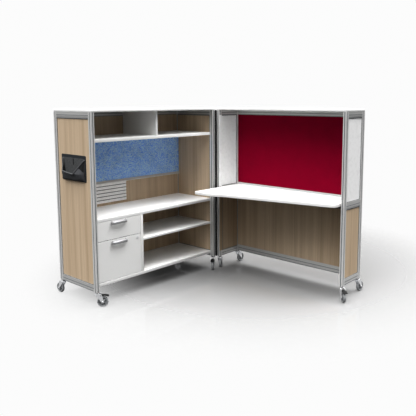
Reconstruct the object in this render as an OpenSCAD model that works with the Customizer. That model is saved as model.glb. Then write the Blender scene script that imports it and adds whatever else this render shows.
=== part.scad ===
// Mobile folding workstation: a storage unit and a desk unit on casters, hinged along their front posts.
// Millimetres, +Z up, floor at zero. Each unit is drawn in plan coordinates: x runs across from the
// hinge axis, y runs back from the plane of the unit's front, and both units are then put in place.

/* [Units] */
// Width of each unit across its front
unit_w = 1250; // [1000:10:1500]
// Front to back depth of the storage unit
storage_depth = 472; // [420:2:600]
// Front to back depth of the desk unit
desk_depth = 278; // [240:2:400]
// Height of the frames above the floor
frame_top = 1400; // [1300:10:1700]
// Height of the post ends above the floor
caster_h = 110; // [108:1:130]
// Gap between the two units at the hinge, with the axis in its middle
hinge_gap = 13; // [13:0.5:20]
// Thickness of the white cap over each unit
cap_t = 18; // [12:1:30]
// Corner radius of the caps
cap_round = 5; // [2:0.5:10]

/* [Frame] */
// Post size across the front
post_w = 25; // [22:1:40]
// Post size front to back
post_d = 36; // [30:1:50]
// Height of the top and bottom rails
rail_h = 46; // [40:1:60]
// Rise of the bottom rails above the post ends
rail_rise = 4; // [2:1:10]
// Width of the groove down each post face
groove_w = 8; // [4:0.5:12]
// Depth of the groove down each post face
groove_t = 2.5; // [1:0.5:5]
// Wall thickness of the hollow frame sections
tube_wall = 2; // [1.5:0.5:3]
// Setback of the infill panels from the frame's outer face
panel_recess = 5; // [2:0.5:5]
// Height of the glazing bead beside the panels
bead_h = 14; // [8:1:20]
// Setback of the glazing bead from the rail's face
bead_set = 3; // [1:0.5:5]

/* [Storage unit] */
// Height of the cubbies, from the upper shelf to the frame's top
cubby_h = 191; // [150:1:250]
// Thickness of the upper shelf
shelf_t = 24; // [18:1:30]
// Thickness of the divider on the upper shelf
divider_t = 20; // [16:1:30]
// Top face of the credenza
credenza_z = 632; // [600:1:660]
// Thickness of the credenza top
credenza_t = 24; // [18:1:30]
// Width of the bay that holds the drawers
drawer_bay_w = 417.5; // [360:0.5:500]
// Thickness of the upright beside the drawers
upright_t = 25; // [16:1:30]
// Top face of the middle shelf
mid_shelf_z = 420; // [340:1:480]
// Thickness of the middle shelf
mid_shelf_t = 18; // [16:1:25]
// Top face of the base board
base_z = 158; // [150:1:170]
// Thickness of the base board
base_t = 25; // [18:1:25]

/* [Back wall fittings] */
// Height of the accessory rail
accessory_h = 21; // [16:1:30]
// Depth of the accessory rail from the back panel
accessory_t = 25; // [20:1:40]
// Height of the pinboard, as a share of the height from the credenza to the upper shelf
pinboard_share = 0.63; // [0.4:0.01:0.7]
// Thickness of the pinboard
pinboard_t = 20; // [10:1:20]
// Number of slats in the slat panel
slat_n = 6; // [4:1:7]
// Gap between the credenza and the slat panel
slat_foot = 22; // [10:1:60]
// Gap between slats
slat_gap = 6; // [5:0.5:7]
// Thickness of a slat
slat_t = 8; // [5:0.5:12]
// Thickness of the sheet behind the slats
slat_back_t = 4; // [2:0.5:6]

/* [Drawers] */
// Thickness of the drawer fronts
front_t = 19; // [16:1:22]
// Height of the box drawer's front
box_front_h = 142; // [120:1:180]
// Gap round the drawer fronts
front_gap = 2; // [1.5:0.5:3]
// Thickness of the tray walls
tray_t = 12; // [9:1:15]
// Thickness of the tray bottoms
tray_floor_t = 6; // [4:1:9]
// Gap between the trays and the back panel
tray_back_gap = 17; // [10:1:90]
// Height of the box drawer's tray
box_tray_h = 90; // [60:1:100]
// Height of the file drawer's tray
file_tray_h = 220; // [180:1:224]
// Height of a drawer slide
slide_h = 40; // [30:1:50]
// Thickness of a drawer slide, both members together
slide_t = 12.5; // [12:0.5:14]
// Sheet thickness of the drawer slides
slide_sheet = 1.5; // [1:0.25:2]
// Width of a handle
handle_w = 136; // [100:1:200]
// Height of a handle
handle_h = 22; // [14:1:26]
// How far a handle stands off its front
handle_reach = 28; // [25:1:34]
// Thickness of the handle's bar and legs
handle_t = 9; // [6:0.5:12]
// Radius of the lock's barrel
lock_r = 9; // [7:0.5:10]
// Radius of the lock's face
lock_face_r = 11.5; // [11:0.5:14]
// Thickness of the lock's face and cam
lock_face_t = 2.5; // [1.5:0.5:3]

/* [Desk] */
// Top face of the worktop
desk_z = 734; // [720:1:760]
// Thickness of the worktop
desk_t = 25; // [19:1:30]
// How far the worktop's deep end comes forward of the hinge axis
desk_deep = 305; // [240:5:320]
// Length of the deep end's straight edge
desk_straight = 170; // [120:5:260]
// Length of the step from the deep end to the taper
desk_step = 95; // [60:5:150]
// How far the worktop comes forward of the hinge axis where the taper starts
desk_waist = 254; // [180:2:280]
// How far the worktop's narrow end comes forward of the hinge axis
desk_narrow = 63; // [40:1:90]
// Gap between the worktop and the desk unit's hinge end
desk_gap = 3; // [3:0.5:6]
// Gap between the worktop and the desk unit's far end
desk_far_gap = 7; // [6:0.5:20]
// Radius of the worktop's free corner by the hinge
desk_corner_r = 14; // [8:1:40]
// Radius of the worktop's narrow corner
desk_nose_r = 45; // [25:1:55]
// Radius of the bend from the deep end to the step
desk_bend_r = 150; // [60:10:200]
// Radius of the hollow from the step to the taper
desk_hollow_r = 300; // [100:10:400]
// Height of the rails at worktop level
mid_rail_h = 40; // [30:1:50]
// How far the back rail at worktop level stands above the worktop
back_rail_show = 15; // [8:1:30]
// How far the end rails at worktop level stand above the worktop
end_rail_show = 3; // [1:1:15]
// Height of the desk unit's back base rail
desk_base_h = 56; // [46:1:70]
// Thickness of the pale upper end panels
light_panel_t = 8; // [6:1:12]
// Sheet thickness of the worktop's brackets
bracket_t = 5; // [3:0.5:8]
// Width of a bracket's arm
bracket_w = 40; // [30:1:60]
// Height of a bracket's web
bracket_h = 34; // [24:1:40]

/* [File pocket] */
// Width of the hanging pocket
pocket_w = 304; // [240:1:340]
// Height of the hanging pocket
pocket_h = 190; // [150:1:230]
// Height of the hanging pocket's top below the frame's top
pocket_drop = 308; // [200:1:400]
// Depth of the pocket at its mouth
pocket_mouth = 46; // [36:1:60]
// Depth of the pocket at its foot
pocket_foot = 30; // [24:1:36]
// Wall thickness of the pocket
pocket_wall = 4; // [3:0.5:6]

/* [Hinge] */
// Outer radius of the hinge's knuckles
knuckle_r = 6; // [4.5:0.25:6]
// Radius of the hinge pin
hinge_pin_r = 2; // [1.5:0.25:2.5]
// Number of knuckles, shared by both leaves
knuckle_n = 13; // [9:2:17]
// Width of a hinge leaf on its post
leaf_w = 30; // [20:1:32]
// Thickness of a hinge leaf
leaf_t = 2; // [1.5:0.25:3]

/* [Casters] */
// Radius of a caster wheel
wheel_r = 40; // [36:0.5:41]
// Width of a caster wheel's tread
wheel_w = 22; // [18:1:26]
// Distance from the swivel axis to the wheel's axle
trail = 40; // [34:0.5:42]
// Gap between a wheel's tread and the fork's arms
wheel_gap = 2.5; // [1.5:0.25:3]
// Sheet thickness of the fork's arms
fork_t = 3; // [2:0.5:4]
// Thickness of the fork's crown
crown_t = 4; // [3:0.5:5]
// Thickness of the collar on a post's end
collar_t = 6; // [4:0.5:7]
// Radius of the swivel stem
stem_r = 5; // [4:0.5:6]
// Length of the stem inside the post
stem_len = 45; // [30:1:60]
// Radius of the wheel's axle
axle_r = 4; // [3:0.5:5]
// Length of a brake pedal past the wheel's axle
pedal_past = 44; // [36:1:48]

/* [Fits] */
// Radial clearance of turning fits
fit = 0.05; // [0.02:0.01:0.1]
// Clearance between parts that pass each other
pass = 0.4; // [0.3:0.05:0.6]

/* [Hidden] */
over = 1;
$fn = 48;
// Frame lines in plan, from the hinge axis
near_u = hinge_gap / 2;
far_u = near_u + unit_w;
in_near = near_u + post_w;
in_far = far_u - post_w;
front_v = near_u;
inner_front = front_v + post_d;
storage_back = front_v + storage_depth;
desk_back = front_v + desk_depth;
panel_t = post_w - panel_recess;
core_w = post_w - 2 * (groove_t + tube_wall);
core_d = post_d - 2 * (groove_t + tube_wall);
storage_in = storage_back - post_w;
desk_in = desk_back - post_w;
rail_low = caster_h + rail_rise;
rail_low_top = rail_low + rail_h;
rail_high = frame_top - rail_h;
// Storage fittings
shelf_top = frame_top - cubby_h;
bay_u = in_far - drawer_bay_w;
upright_u = bay_u - upright_t;
shelf_low = shelf_top - shelf_t;
credenza_low = credenza_z - credenza_t;
middle_u = (near_u + far_u) / 2;
pinboard_z = shelf_low - pinboard_share * (shelf_low - credenza_z);
accessory_z = pinboard_z - accessory_h;
slat_panel_z = credenza_z + slat_foot;
slat_panel_h = accessory_z - slat_panel_z;
slat_h = (slat_panel_h - (slat_n - 1) * slat_gap) / slat_n;
slat_chamfer = slat_t / 4;
accessory_lip = accessory_h / 5;
accessory_slot = accessory_h - 3 * accessory_lip;
// File pocket: its top edge is cut down in front, from its front corner to its back corner
pocket_z = frame_top - pocket_drop - pocket_h;
pocket_bulge_share = 0.7;
pocket_lip_place_shares = [0, 0.5, 0.8, 1];
pocket_lip_height_shares = [0.9, 0.27, 0.27, 0.84];
// Drawers
box_top = credenza_low - front_gap;
box_low = box_top - box_front_h;
file_top = box_low - front_gap;
file_low = base_z + front_gap;
tray_v = inner_front + front_t;
tray_len = storage_in - tray_back_gap - tray_v;
box_tray_z = box_low + (box_front_h - box_tray_h) / 2;
file_tray_z = file_low + 2 * tray_floor_t;
slide_len = tray_len - tray_t;
box_slide_z = box_tray_z + tray_floor_t;
file_slide_z = file_tray_z + file_tray_h / 3;
tray_low_u = bay_u + slide_t;
tray_high_u = in_far - slide_t;
handle_u = (bay_u + in_far) / 2;
handle_drop = handle_h / 5.5;
handle_slope = handle_t;
handle_bevel = 0.75 * handle_t;
lock_u = bay_u + 3 * lock_face_r;
lock_z = file_top - 2.3 * lock_face_r;
cam_w = 1.2 * lock_r;
cam_len = 2.6 * lock_r;
key_w = lock_r / 6;
hang_rail_t = tray_t / 3;
hang_rail_h = tray_t;
// Desk
desk_mid_top = desk_z + end_rail_show;
desk_mid_low = desk_mid_top - mid_rail_h;
back_mid_top = desk_z + back_rail_show;
desk_under = desk_z - desk_t;
base_rail_top = rail_low + desk_base_h;
desk_left = in_near + desk_gap;
desk_right = in_far - desk_far_gap;
bracket_reach_shares = [0.78, 0.55, 0.2];
bracket_place_shares = [0.12, 0.5, 0.88];
// Hinge
hinge_low = caster_h + rail_rise;
hinge_high = frame_top - rail_rise;
knuckle_l = (hinge_high - hinge_low) / knuckle_n;
pin_head_t = leaf_t;
// Casters
collar_r = 2.2 * stem_r;
crown_top = caster_h - collar_t - pass;
crown_low = crown_top - crown_t;
crown_r = 3 * stem_r;
stem_head_r = 1.6 * stem_r;
stem_head_t = stem_r / 2;
arm_in = wheel_w / 2 + wheel_gap;
arm_out = arm_in + fork_t;
axle_head_t = fork_t / 2;
axle_half = arm_out + axle_head_t;
eye_r = 2.5 * axle_r;
pedal_pin_r = 0.75 * axle_r;
pedal_x = 0.65 * trail;
pedal_z = crown_low - 3 * crown_t;
pedal_half = arm_out - pass;
pedal_inner = arm_in - pass;
pedal_end = trail + pedal_past;
pedal_t = crown_t;
// Headings of the casters at rest, degrees anticlockwise from +X, seen from above
storage_headings = [310, 50, 180, 180];
desk_headings = [120, 320, 90, 90];
// Corners in the order hinge front, far front, hinge back, far back
function corner_u(i) = (i % 2 == 0) ? near_u + post_w / 2 : far_u - post_w / 2;
function corner_v(i, back) = (i < 2) ? front_v + post_d / 2 : back - post_d / 2;
far_axis_u = corner_u(1);
// How far a caster with a pedal reaches from its swivel axis, by its heading from the direction asked
function caster_reach(a) = max(arm_out * abs(sin(a)) - crown_r * cos(a),
    pedal_half * abs(sin(a)) + pedal_end * cos(a));
// The part's box: the origin is the middle of its foot
low_x = -(corner_v(3, storage_back) + trail + wheel_r);
high_x = far_axis_u + max(axle_half, caster_reach(desk_headings[1]));
pocket_reach = far_u - panel_recess + pocket_mouth;
low_y = -max(pocket_reach, far_axis_u + max(axle_half, caster_reach(storage_headings[1] + 90)));
high_y = corner_v(3, desk_back) + trail + wheel_r;
origin_x = (low_x + high_x) / 2;
origin_y = (low_y + high_y) / 2;

// Places of the two units
module place_desk() { translate([-origin_x, -origin_y, 0]) children(); }
module place_storage() { translate([-origin_x, -origin_y, 0]) mirror([1, 1, 0]) children(); }

// A box between two corners
module block(low, high) { translate(low) cube(high - low); }

// Frame pieces
module post_section() {
    difference() {
        square([post_w, post_d]);
        for (v = [-over, post_d - groove_t])
            translate([(post_w - groove_w) / 2, v]) square([groove_w, groove_t + over]);
        for (u = [-over, post_w - groove_t])
            translate([u, (post_d - groove_w) / 2]) square([groove_t + over, groove_w]);
    }
}

module posts(back) {
    color([0.62, 0.63, 0.65])
    for (i = [0:3])
        difference() {
            translate([corner_u(i) - post_w / 2, corner_v(i, back) - post_d / 2, caster_h])
                linear_extrude(frame_top - caster_h) post_section();
            translate([corner_u(i), corner_v(i, back), caster_h - over])
                cylinder(r = stem_r + fit, h = stem_len + over + pass);
            translate([corner_u(i) - core_w / 2, corner_v(i, back) - core_d / 2,
                       caster_h + stem_len + stem_r])
                cube([core_w, core_d, frame_top - caster_h]);
        }
}

// A rail along y at either end of a unit, with a bead on the side of the panel
module end_rail(u, back, low, high, bead_side) {
    v0 = inner_front;
    v1 = back - post_d;
    body_low = bead_side < 0 ? low + bead_h : low;
    body_high = bead_side > 0 ? high - bead_h : high;
    core_u = u + bead_set + tube_wall;
    difference() {
        union() {
            block([u, v0, body_low], [u + post_w, v1, body_high]);
            block([u + bead_set, v0, low], [u + post_w - bead_set, v1, high]);
        }
        block([core_u, v0 - over, low + tube_wall],
              [u + post_w - bead_set - tube_wall, v1 + over, high - tube_wall]);
    }
}

module end_rails(back, low, high, bead_side) {
    for (u = [near_u, in_far]) end_rail(u, back, low, high, bead_side);
}

module back_rail(back, low, high) {
    difference() {
        block([in_near, back - post_w, low], [in_far, back, high]);
        block([in_near - over, back - post_w + tube_wall, low + tube_wall],
              [in_far + over, back - tube_wall, high - tube_wall]);
    }
}

module cap(back) {
    color([0.93, 0.93, 0.93])
    translate([near_u, front_v, frame_top])
        linear_extrude(cap_t) rounded_plate(unit_w, back - front_v, cap_round);
}

// A rectangle with round corners, its points worked out corner by corner
function arc_points(c, r, a0, a1, n = 8) = [for (k = [0:n]) let (a = a0 + (a1 - a0) * k / n)
    [c[0] + r * cos(a), c[1] + r * sin(a)]];

module rounded_plate(w, d, r) {
    polygon(concat(
        arc_points([r, r], r, 180, 270), arc_points([w - r, r], r, 270, 360),
        arc_points([w - r, d - r], r, 0, 90), arc_points([r, d - r], r, 90, 180)));
}

module end_panel(u_out, back, low, high, t, outward) {
    // outward is 1 at the far end and -1 at the hinge end
    u_in = outward > 0 ? u_out - panel_recess - t : u_out + panel_recess;
    block([u_in, inner_front, low], [u_in + t, back - post_d, high]);
}

module end_panels(back, low, high, t) {
    end_panel(near_u, back, low, high, t, -1);
    end_panel(far_u, back, low, high, t, 1);
}

module back_panel(back, low, high) {
    block([in_near, back - post_w, low], [in_far, back - panel_recess, high]);
}

// Storage unit
module storage_posts() { place_storage() posts(storage_back); }

module storage_rails() {
    place_storage() color([0.62, 0.63, 0.65]) {
        end_rails(storage_back, rail_low, rail_low_top, 0);
        end_rails(storage_back, rail_high, frame_top, -1);
        back_rail(storage_back, rail_low, rail_low_top);
        back_rail(storage_back, rail_high, frame_top);
    }
}

module storage_top() { place_storage() cap(storage_back); }

module storage_end_panels() {
    place_storage() color([0.73, 0.64, 0.53]) end_panels(storage_back, rail_low_top, rail_high, panel_t);
}

module storage_back_panel() {
    place_storage() color([0.66, 0.55, 0.43]) back_panel(storage_back, rail_low_top, rail_high);
}

module board(u0, u1, low, high) {
    place_storage() color([0.93, 0.93, 0.93]) block([u0, inner_front, low], [u1, storage_in, high]);
}

module upper_shelf() { board(in_near, in_far, shelf_low, shelf_top); }

module shelf_divider() {
    board(middle_u - divider_t / 2, middle_u + divider_t / 2, shelf_top, frame_top);
}

module credenza_top() { board(in_near, in_far, credenza_low, credenza_z); }

module drawer_upright() { board(upright_u, bay_u, base_z, credenza_low); }

module mid_shelf() { board(in_near, upright_u, mid_shelf_z - mid_shelf_t, mid_shelf_z); }

module base_board() { board(in_near, in_far, base_z - base_t, base_z); }

module pinboard() {
    place_storage() color([0.35, 0.45, 0.65])
        block([in_near, storage_in - pinboard_t, pinboard_z], [in_far, storage_in, shelf_low]);
}

// A rail with a slot along its front for hooks
module accessory_rail() {
    face_v = storage_in - accessory_t;
    slot_v = face_v + accessory_t / 2;
    low = accessory_z + accessory_lip;
    place_storage() color([0.72, 0.73, 0.74])
        difference() {
            block([in_near, face_v, accessory_z], [in_far, storage_in, pinboard_z]);
            block([in_near - over, face_v - over, low + accessory_lip],
                  [in_far + over, slot_v, low + accessory_lip + accessory_slot]);
        }
}

// One slat's end shape: a strip with its front edges taken off
module slat_section() {
    polygon([[slat_t, 0], [slat_chamfer, 0], [0, slat_chamfer], [0, slat_h - slat_chamfer],
             [slat_chamfer, slat_h], [slat_t, slat_h]]);
}

module slat_panel() {
    back_v = storage_in - slat_back_t;
    place_storage() color([0.68, 0.68, 0.67])
        union() {
            block([middle_u, back_v, slat_panel_z], [in_far, storage_in, accessory_z]);
            for (k = [0:slat_n - 1])
                translate([middle_u, back_v - slat_t, slat_panel_z + k * (slat_h + slat_gap)])
                    rotate([90, 0, 90]) linear_extrude(in_far - middle_u) slat_section();
        }
}

// Hanging pocket: a tapered shell, open at its top, against the end panel
module pocket_side(inset) {
    top = pocket_h + (inset > 0 ? over : 0);
    polygon([[inset, inset], [pocket_foot - inset, inset],
             [pocket_mouth - inset, pocket_h * pocket_bulge_share], [pocket_mouth - inset, top],
             [inset, top]]);
}

// What is cut away in front of the pocket: seen from outside, front corner first
module pocket_lip() {
    n = len(pocket_lip_place_shares);
    polygon([for (k = [0:n - 1]) [pocket_w * pocket_lip_place_shares[k]
                                      + (k == 0 ? -over : k == n - 1 ? over : 0),
                                  pocket_h * pocket_lip_height_shares[k]],
             [pocket_w + over, pocket_h + over], [-over, pocket_h + over]]);
}

module file_pocket() {
    mid_v = (inner_front + storage_back - post_d) / 2;
    place_storage() color([0.08, 0.08, 0.09])
        translate([far_u - panel_recess, mid_v, pocket_z])
            difference() {
                translate([0, pocket_w / 2, 0]) rotate([90, 0, 0])
                    difference() {
                        linear_extrude(pocket_w) pocket_side(0);
                        translate([0, 0, pocket_wall])
                            linear_extrude(pocket_w - 2 * pocket_wall) pocket_side(pocket_wall);
                    }
                translate([pocket_wall, -pocket_w / 2, 0]) rotate([90, 0, 90])
                    linear_extrude(pocket_mouth) pocket_lip();
            }
}

// Drawer slides: the cabinet member is a channel, and the drawer member runs inside it
module slide_channel(open_side) {
    // The web is on the side away from open_side; x spans half the slide
    t = slide_t / 2;
    web = open_side > 0 ? 0 : t - slide_sheet;
    translate([web, 0]) square([slide_sheet, slide_h]);
    square([t, slide_sheet]);
    translate([0, slide_h - slide_sheet]) square([t, slide_sheet]);
}

module along_slide(u, low) {
    translate([u, tray_v + slide_len, low]) rotate([90, 0, 0]) linear_extrude(slide_len) children();
}

module drawer_guides() {
    place_storage() color([0.75, 0.75, 0.77])
        for (low = [box_slide_z, file_slide_z]) {
            along_slide(bay_u, low) slide_channel(1);
            along_slide(in_far - slide_t / 2, low) slide_channel(-1);
        }
}

// The drawer's own members: one rib each side, face to face with the tray
module drawer_ribs(low) {
    rib = slide_t - slide_sheet - pass;
    rib_h = slide_h - 2 * (slide_sheet + pass);
    place_storage() color([0.55, 0.56, 0.58])
        for (u = [bay_u + slide_sheet + pass, tray_high_u])
            along_slide(u, low) translate([0, slide_sheet + pass]) square([rib, rib_h]);
}

module box_drawer_slides() { drawer_ribs(box_slide_z); }

module file_drawer_slides() { drawer_ribs(file_slide_z); }

module tray(low, h) {
    place_storage() color([0.85, 0.85, 0.85])
        difference() {
            block([tray_low_u, tray_v, low], [tray_high_u, tray_v + tray_len, low + h]);
            block([tray_low_u + tray_t, tray_v + tray_t, low + tray_floor_t],
                  [tray_high_u - tray_t, tray_v + tray_len - tray_t, low + h + over]);
        }
}

module box_drawer_tray() { tray(box_tray_z, box_tray_h); }

module file_drawer_tray() { tray(file_tray_z, file_tray_h); }

module front_board(low, high) {
    block([bay_u + front_gap, inner_front, low], [in_far - front_gap, tray_v, high]);
}

module box_drawer_front() { place_storage() color([0.93, 0.93, 0.93]) front_board(box_low, box_top); }

module file_drawer_front() {
    place_storage() color([0.93, 0.93, 0.93])
        difference() {
            front_board(file_low, file_top);
            translate([lock_u, inner_front - over, lock_z]) rotate([-90, 0, 0])
                cylinder(r = lock_r + fit, h = front_t + 2 * over);
        }
}

// Bar handle: a bar on two legs with sloped shoulders, drawn from the middle of its foot
module handle_outline(w, reach, slope, foot) {
    polygon([[-w / 2, foot], [-w / 2, slope - reach], [slope - w / 2, -reach],
             [w / 2 - slope, -reach], [w / 2, slope - reach], [w / 2, foot]]);
}

// Its end view: the top edge in front is bevelled
module handle_side() {
    polygon([[over, 0], [over, handle_h], [handle_bevel - handle_reach, handle_h],
             [-handle_reach, handle_h - handle_bevel], [-handle_reach, 0]]);
}

module bar_handle(top) {
    inner_w = handle_w - 2 * handle_t;
    place_storage() color([0.55, 0.56, 0.58])
        translate([handle_u, inner_front, top - handle_drop - handle_h])
            intersection() {
                linear_extrude(handle_h)
                    difference() {
                        handle_outline(handle_w, handle_reach, handle_slope, 0);
                        handle_outline(inner_w, handle_reach - handle_t, handle_slope / 2, over);
                    }
                translate([-handle_w / 2, 0, 0]) rotate([90, 0, 90])
                    linear_extrude(handle_w) handle_side();
            }
}

module box_drawer_handle() { bar_handle(box_top); }

module file_drawer_handle() { bar_handle(file_top - 1.5 * handle_drop); }

// Rails along both sides of the file tray, for hanging folders
module file_hanging_rails() {
    place_storage() color([0.6, 0.61, 0.63])
        for (u = [tray_low_u + tray_t, tray_high_u - tray_t - hang_rail_t])
            block([u, tray_v + tray_t, file_tray_z + file_tray_h - hang_rail_h],
                  [u + hang_rail_t, tray_v + tray_len - tray_t, file_tray_z + file_tray_h]);
}

// Cam lock: its face is in front of the drawer front and its cam behind it, pointing down
module lock_barrel() {
    place_storage() color([0.7, 0.7, 0.72])
        translate([lock_u, inner_front, lock_z]) rotate([-90, 0, 0])
            difference() {
                union() {
                    translate([0, 0, -lock_face_t - fit]) cylinder(r = lock_face_r, h = lock_face_t);
                    translate([0, 0, -lock_face_t])
                        cylinder(r = lock_r, h = front_t + pass + 2 * lock_face_t);
                    translate([-cam_w / 2, 0, front_t + pass]) cube([cam_w, cam_len, lock_face_t]);
                }
                translate([-key_w / 2, -lock_r / 2, -lock_face_t - over])
                    cube([key_w, lock_r, over + 2 * lock_face_t]);
            }
}

// Desk unit
module desk_posts() { place_desk() posts(desk_back); }

module desk_rails() {
    place_desk() color([0.62, 0.63, 0.65]) {
        end_rails(desk_back, rail_low, rail_low_top, 0);
        end_rails(desk_back, rail_high, frame_top, -1);
        end_rails(desk_back, desk_mid_low - bead_h, desk_mid_top, -1);
        back_rail(desk_back, rail_low, base_rail_top);
        back_rail(desk_back, desk_mid_low, back_mid_top);
        back_rail(desk_back, rail_high, frame_top);
    }
}

module desk_cap() { place_desk() cap(desk_back); }

module desk_end_panels() {
    place_desk() color([0.73, 0.64, 0.53])
        end_panels(desk_back, rail_low_top, desk_mid_low - bead_h, panel_t);
}

module desk_light_panels() {
    place_desk() color([0.9, 0.91, 0.92]) end_panels(desk_back, desk_mid_top, rail_high, light_panel_t);
}

module tackboard() {
    place_desk() color([0.43, 0.02, 0.09]) back_panel(desk_back, back_mid_top, rail_high);
}

module desk_back_panel() {
    place_desk() color([0.55, 0.42, 0.3]) back_panel(desk_back, base_rail_top, desk_mid_low);
}

// Round a corner between two straight edges: the arc's centre lies r from both, on the inner side
function unit_vec(a) = a / norm(a);
function corner_arc(p, a, b, r, n = 10) =
    let (da = unit_vec(a - p), db = unit_vec(b - p), half = acos(da * db) / 2,
         c = p + unit_vec(da + db) * r / sin(half), s = p + da * r / tan(half),
         e = p + db * r / tan(half), a0 = atan2(s[1] - c[1], s[0] - c[0]),
         a1 = atan2(e[1] - c[1], e[0] - c[0]), turn = (a1 - a0 + 540) % 360 - 180)
    [for (k = [0:n]) [c[0] + r * cos(a0 + turn * k / n), c[1] + r * sin(a0 + turn * k / n)]];

// Outline of the worktop: deep at the hinge, then a step and a long taper to a rounded nose
worktop_points = [
    [desk_left, desk_in], [desk_left, -desk_deep], [desk_left + desk_straight, -desk_deep],
    [desk_left + desk_straight + desk_step, -desk_waist], [desk_right, -desk_narrow],
    [desk_right, desk_in]
];
worktop_radii = [0, desk_corner_r, desk_bend_r, desk_hollow_r, desk_nose_r, 0];

module worktop() {
    n = len(worktop_points);
    place_desk() color([0.95, 0.95, 0.95])
        translate([0, 0, desk_under]) linear_extrude(desk_t)
            polygon([for (i = [0:n - 1]) each worktop_radii[i] == 0 ? [worktop_points[i]]
                : corner_arc(worktop_points[i], worktop_points[(i + n - 1) % n],
                             worktop_points[(i + 1) % n], worktop_radii[i])]);
}

// Cantilever brackets: a flat under the worktop with a tapered web, and a plate on the back rail
module worktop_brackets() {
    place_desk() color([0.45, 0.46, 0.48])
        for (k = [0:len(bracket_place_shares) - 1]) {
            u = desk_left + bracket_place_shares[k] * (desk_right - desk_left);
            reach = desk_in - bracket_t + bracket_reach_shares[k] * desk_deep;
            translate([u, desk_in, desk_under])
                union() {
                    block([-bracket_w / 2, -reach, -bracket_t], [bracket_w / 2, 0, 0]);
                    block([-bracket_w / 2, -bracket_t, -2 * bracket_h], [bracket_w / 2, 0, -bracket_t]);
                    translate([bracket_t / 2, 0, 0]) rotate([0, -90, 0]) linear_extrude(bracket_t)
                        polygon([[-bracket_t, -bracket_t], [-bracket_t, -reach],
                                 [-2 * bracket_t, -reach], [-2 * bracket_h, -bracket_t]]);
                }
        }
}

// Continuous hinge: knuckles taken in turn by the two leaves, on one pin
module hinge_leaf(first) {
    // Drawn for the desk unit: the leaf lies on the post's end face
    face = near_u;
    clear = knuckle_r + pass;
    difference() {
        union() {
            block([face - leaf_t, clear, hinge_low], [face, clear + leaf_w, hinge_high]);
            for (k = [first:2:knuckle_n - 1]) {
                low = hinge_low + k * knuckle_l + (k > 0 ? pass / 2 : 0);
                high = hinge_low + (k + 1) * knuckle_l - (k < knuckle_n - 1 ? pass / 2 : 0);
                translate([0, 0, low]) cylinder(r = knuckle_r, h = high - low);
                block([face - leaf_t, 0, low], [face, clear + over, high]);
            }
        }
        translate([0, 0, hinge_low - over])
            cylinder(r = hinge_pin_r + fit, h = hinge_high - hinge_low + 2 * over);
    }
}

module desk_hinge_leaf() { place_desk() color([0.1, 0.1, 0.1]) hinge_leaf(1); }

module storage_hinge_leaf() { place_storage() color([0.1, 0.1, 0.1]) hinge_leaf(0); }

module hinge_pin() {
    place_desk() color([0.2, 0.2, 0.2]) union() {
        translate([0, 0, hinge_low]) cylinder(r = hinge_pin_r, h = hinge_high - hinge_low);
        for (z = [hinge_low - pin_head_t, hinge_high])
            translate([0, 0, z]) cylinder(r = knuckle_r - leaf_t / 2, h = pin_head_t);
    }
}

// Casters, drawn with the swivel axis at the origin and the wheel trailing towards +X
module caster_stem() {
    translate([0, 0, caster_h - collar_t]) cylinder(r = collar_r, h = collar_t);
    translate([0, 0, crown_low - pass - stem_head_t]) {
        cylinder(r = stem_r, h = caster_h + stem_len - crown_low);
        cylinder(r = stem_head_r, h = stem_head_t);
    }
}

module arm_outline() {
    // Side view, x along the trail and y up
    polygon([[-crown_r, crown_top], [-crown_r, crown_low - crown_t], [trail - eye_r, wheel_r],
             [trail, wheel_r - eye_r], [trail + eye_r, wheel_r], [pedal_x + 2.5 * crown_t, pedal_z],
             [pedal_x + 1.5 * crown_t, crown_top - 1.5 * crown_t], [crown_r, crown_top]]);
    translate([trail, wheel_r]) circle(r = eye_r);
}

module caster_fork(brake) {
    difference() {
        union() {
            for (side = [-1, 1])
                translate([0, side > 0 ? arm_out : -arm_in, 0]) rotate([90, 0, 0])
                    linear_extrude(fork_t) arm_outline();
            block([-crown_r, -arm_in, crown_low], [crown_r, arm_in, crown_top]);
            translate([trail, axle_half, wheel_r]) rotate([90, 0, 0])
                cylinder(r = axle_r, h = 2 * axle_half);
            for (y = [axle_half, -arm_out])
                translate([trail, y, wheel_r]) rotate([90, 0, 0])
                    cylinder(r = 1.6 * axle_r, h = axle_head_t);
        }
        translate([0, 0, crown_low - over]) cylinder(r = stem_r + fit, h = crown_t + 2 * over);
        if (brake)
            translate([pedal_x, arm_out + over, pedal_z]) rotate([90, 0, 0])
                cylinder(r = pedal_pin_r + fit, h = 2 * (arm_out + over));
    }
}

module caster_wheel() {
    hub_half = arm_in - pass;
    hub_r = 2.2 * axle_r;
    rim_r = wheel_r - 1.8 * axle_r;
    tread = wheel_w / 2;
    web = wheel_w / 6;
    crown = wheel_w / 8;
    translate([trail, 0, wheel_r]) rotate([90, 0, 0]) rotate_extrude()
        polygon([[axle_r + fit, -hub_half], [hub_r, -hub_half], [hub_r, -web], [rim_r, -web],
                 [rim_r, -tread + crown], [rim_r + crown, -tread], [wheel_r - crown, -tread],
                 [wheel_r, -tread + crown], [wheel_r, tread - crown], [wheel_r - crown, tread],
                 [rim_r + crown, tread], [rim_r, tread - crown], [rim_r, web], [hub_r, web],
                 [hub_r, hub_half], [axle_r + fit, hub_half]]);
}

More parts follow.
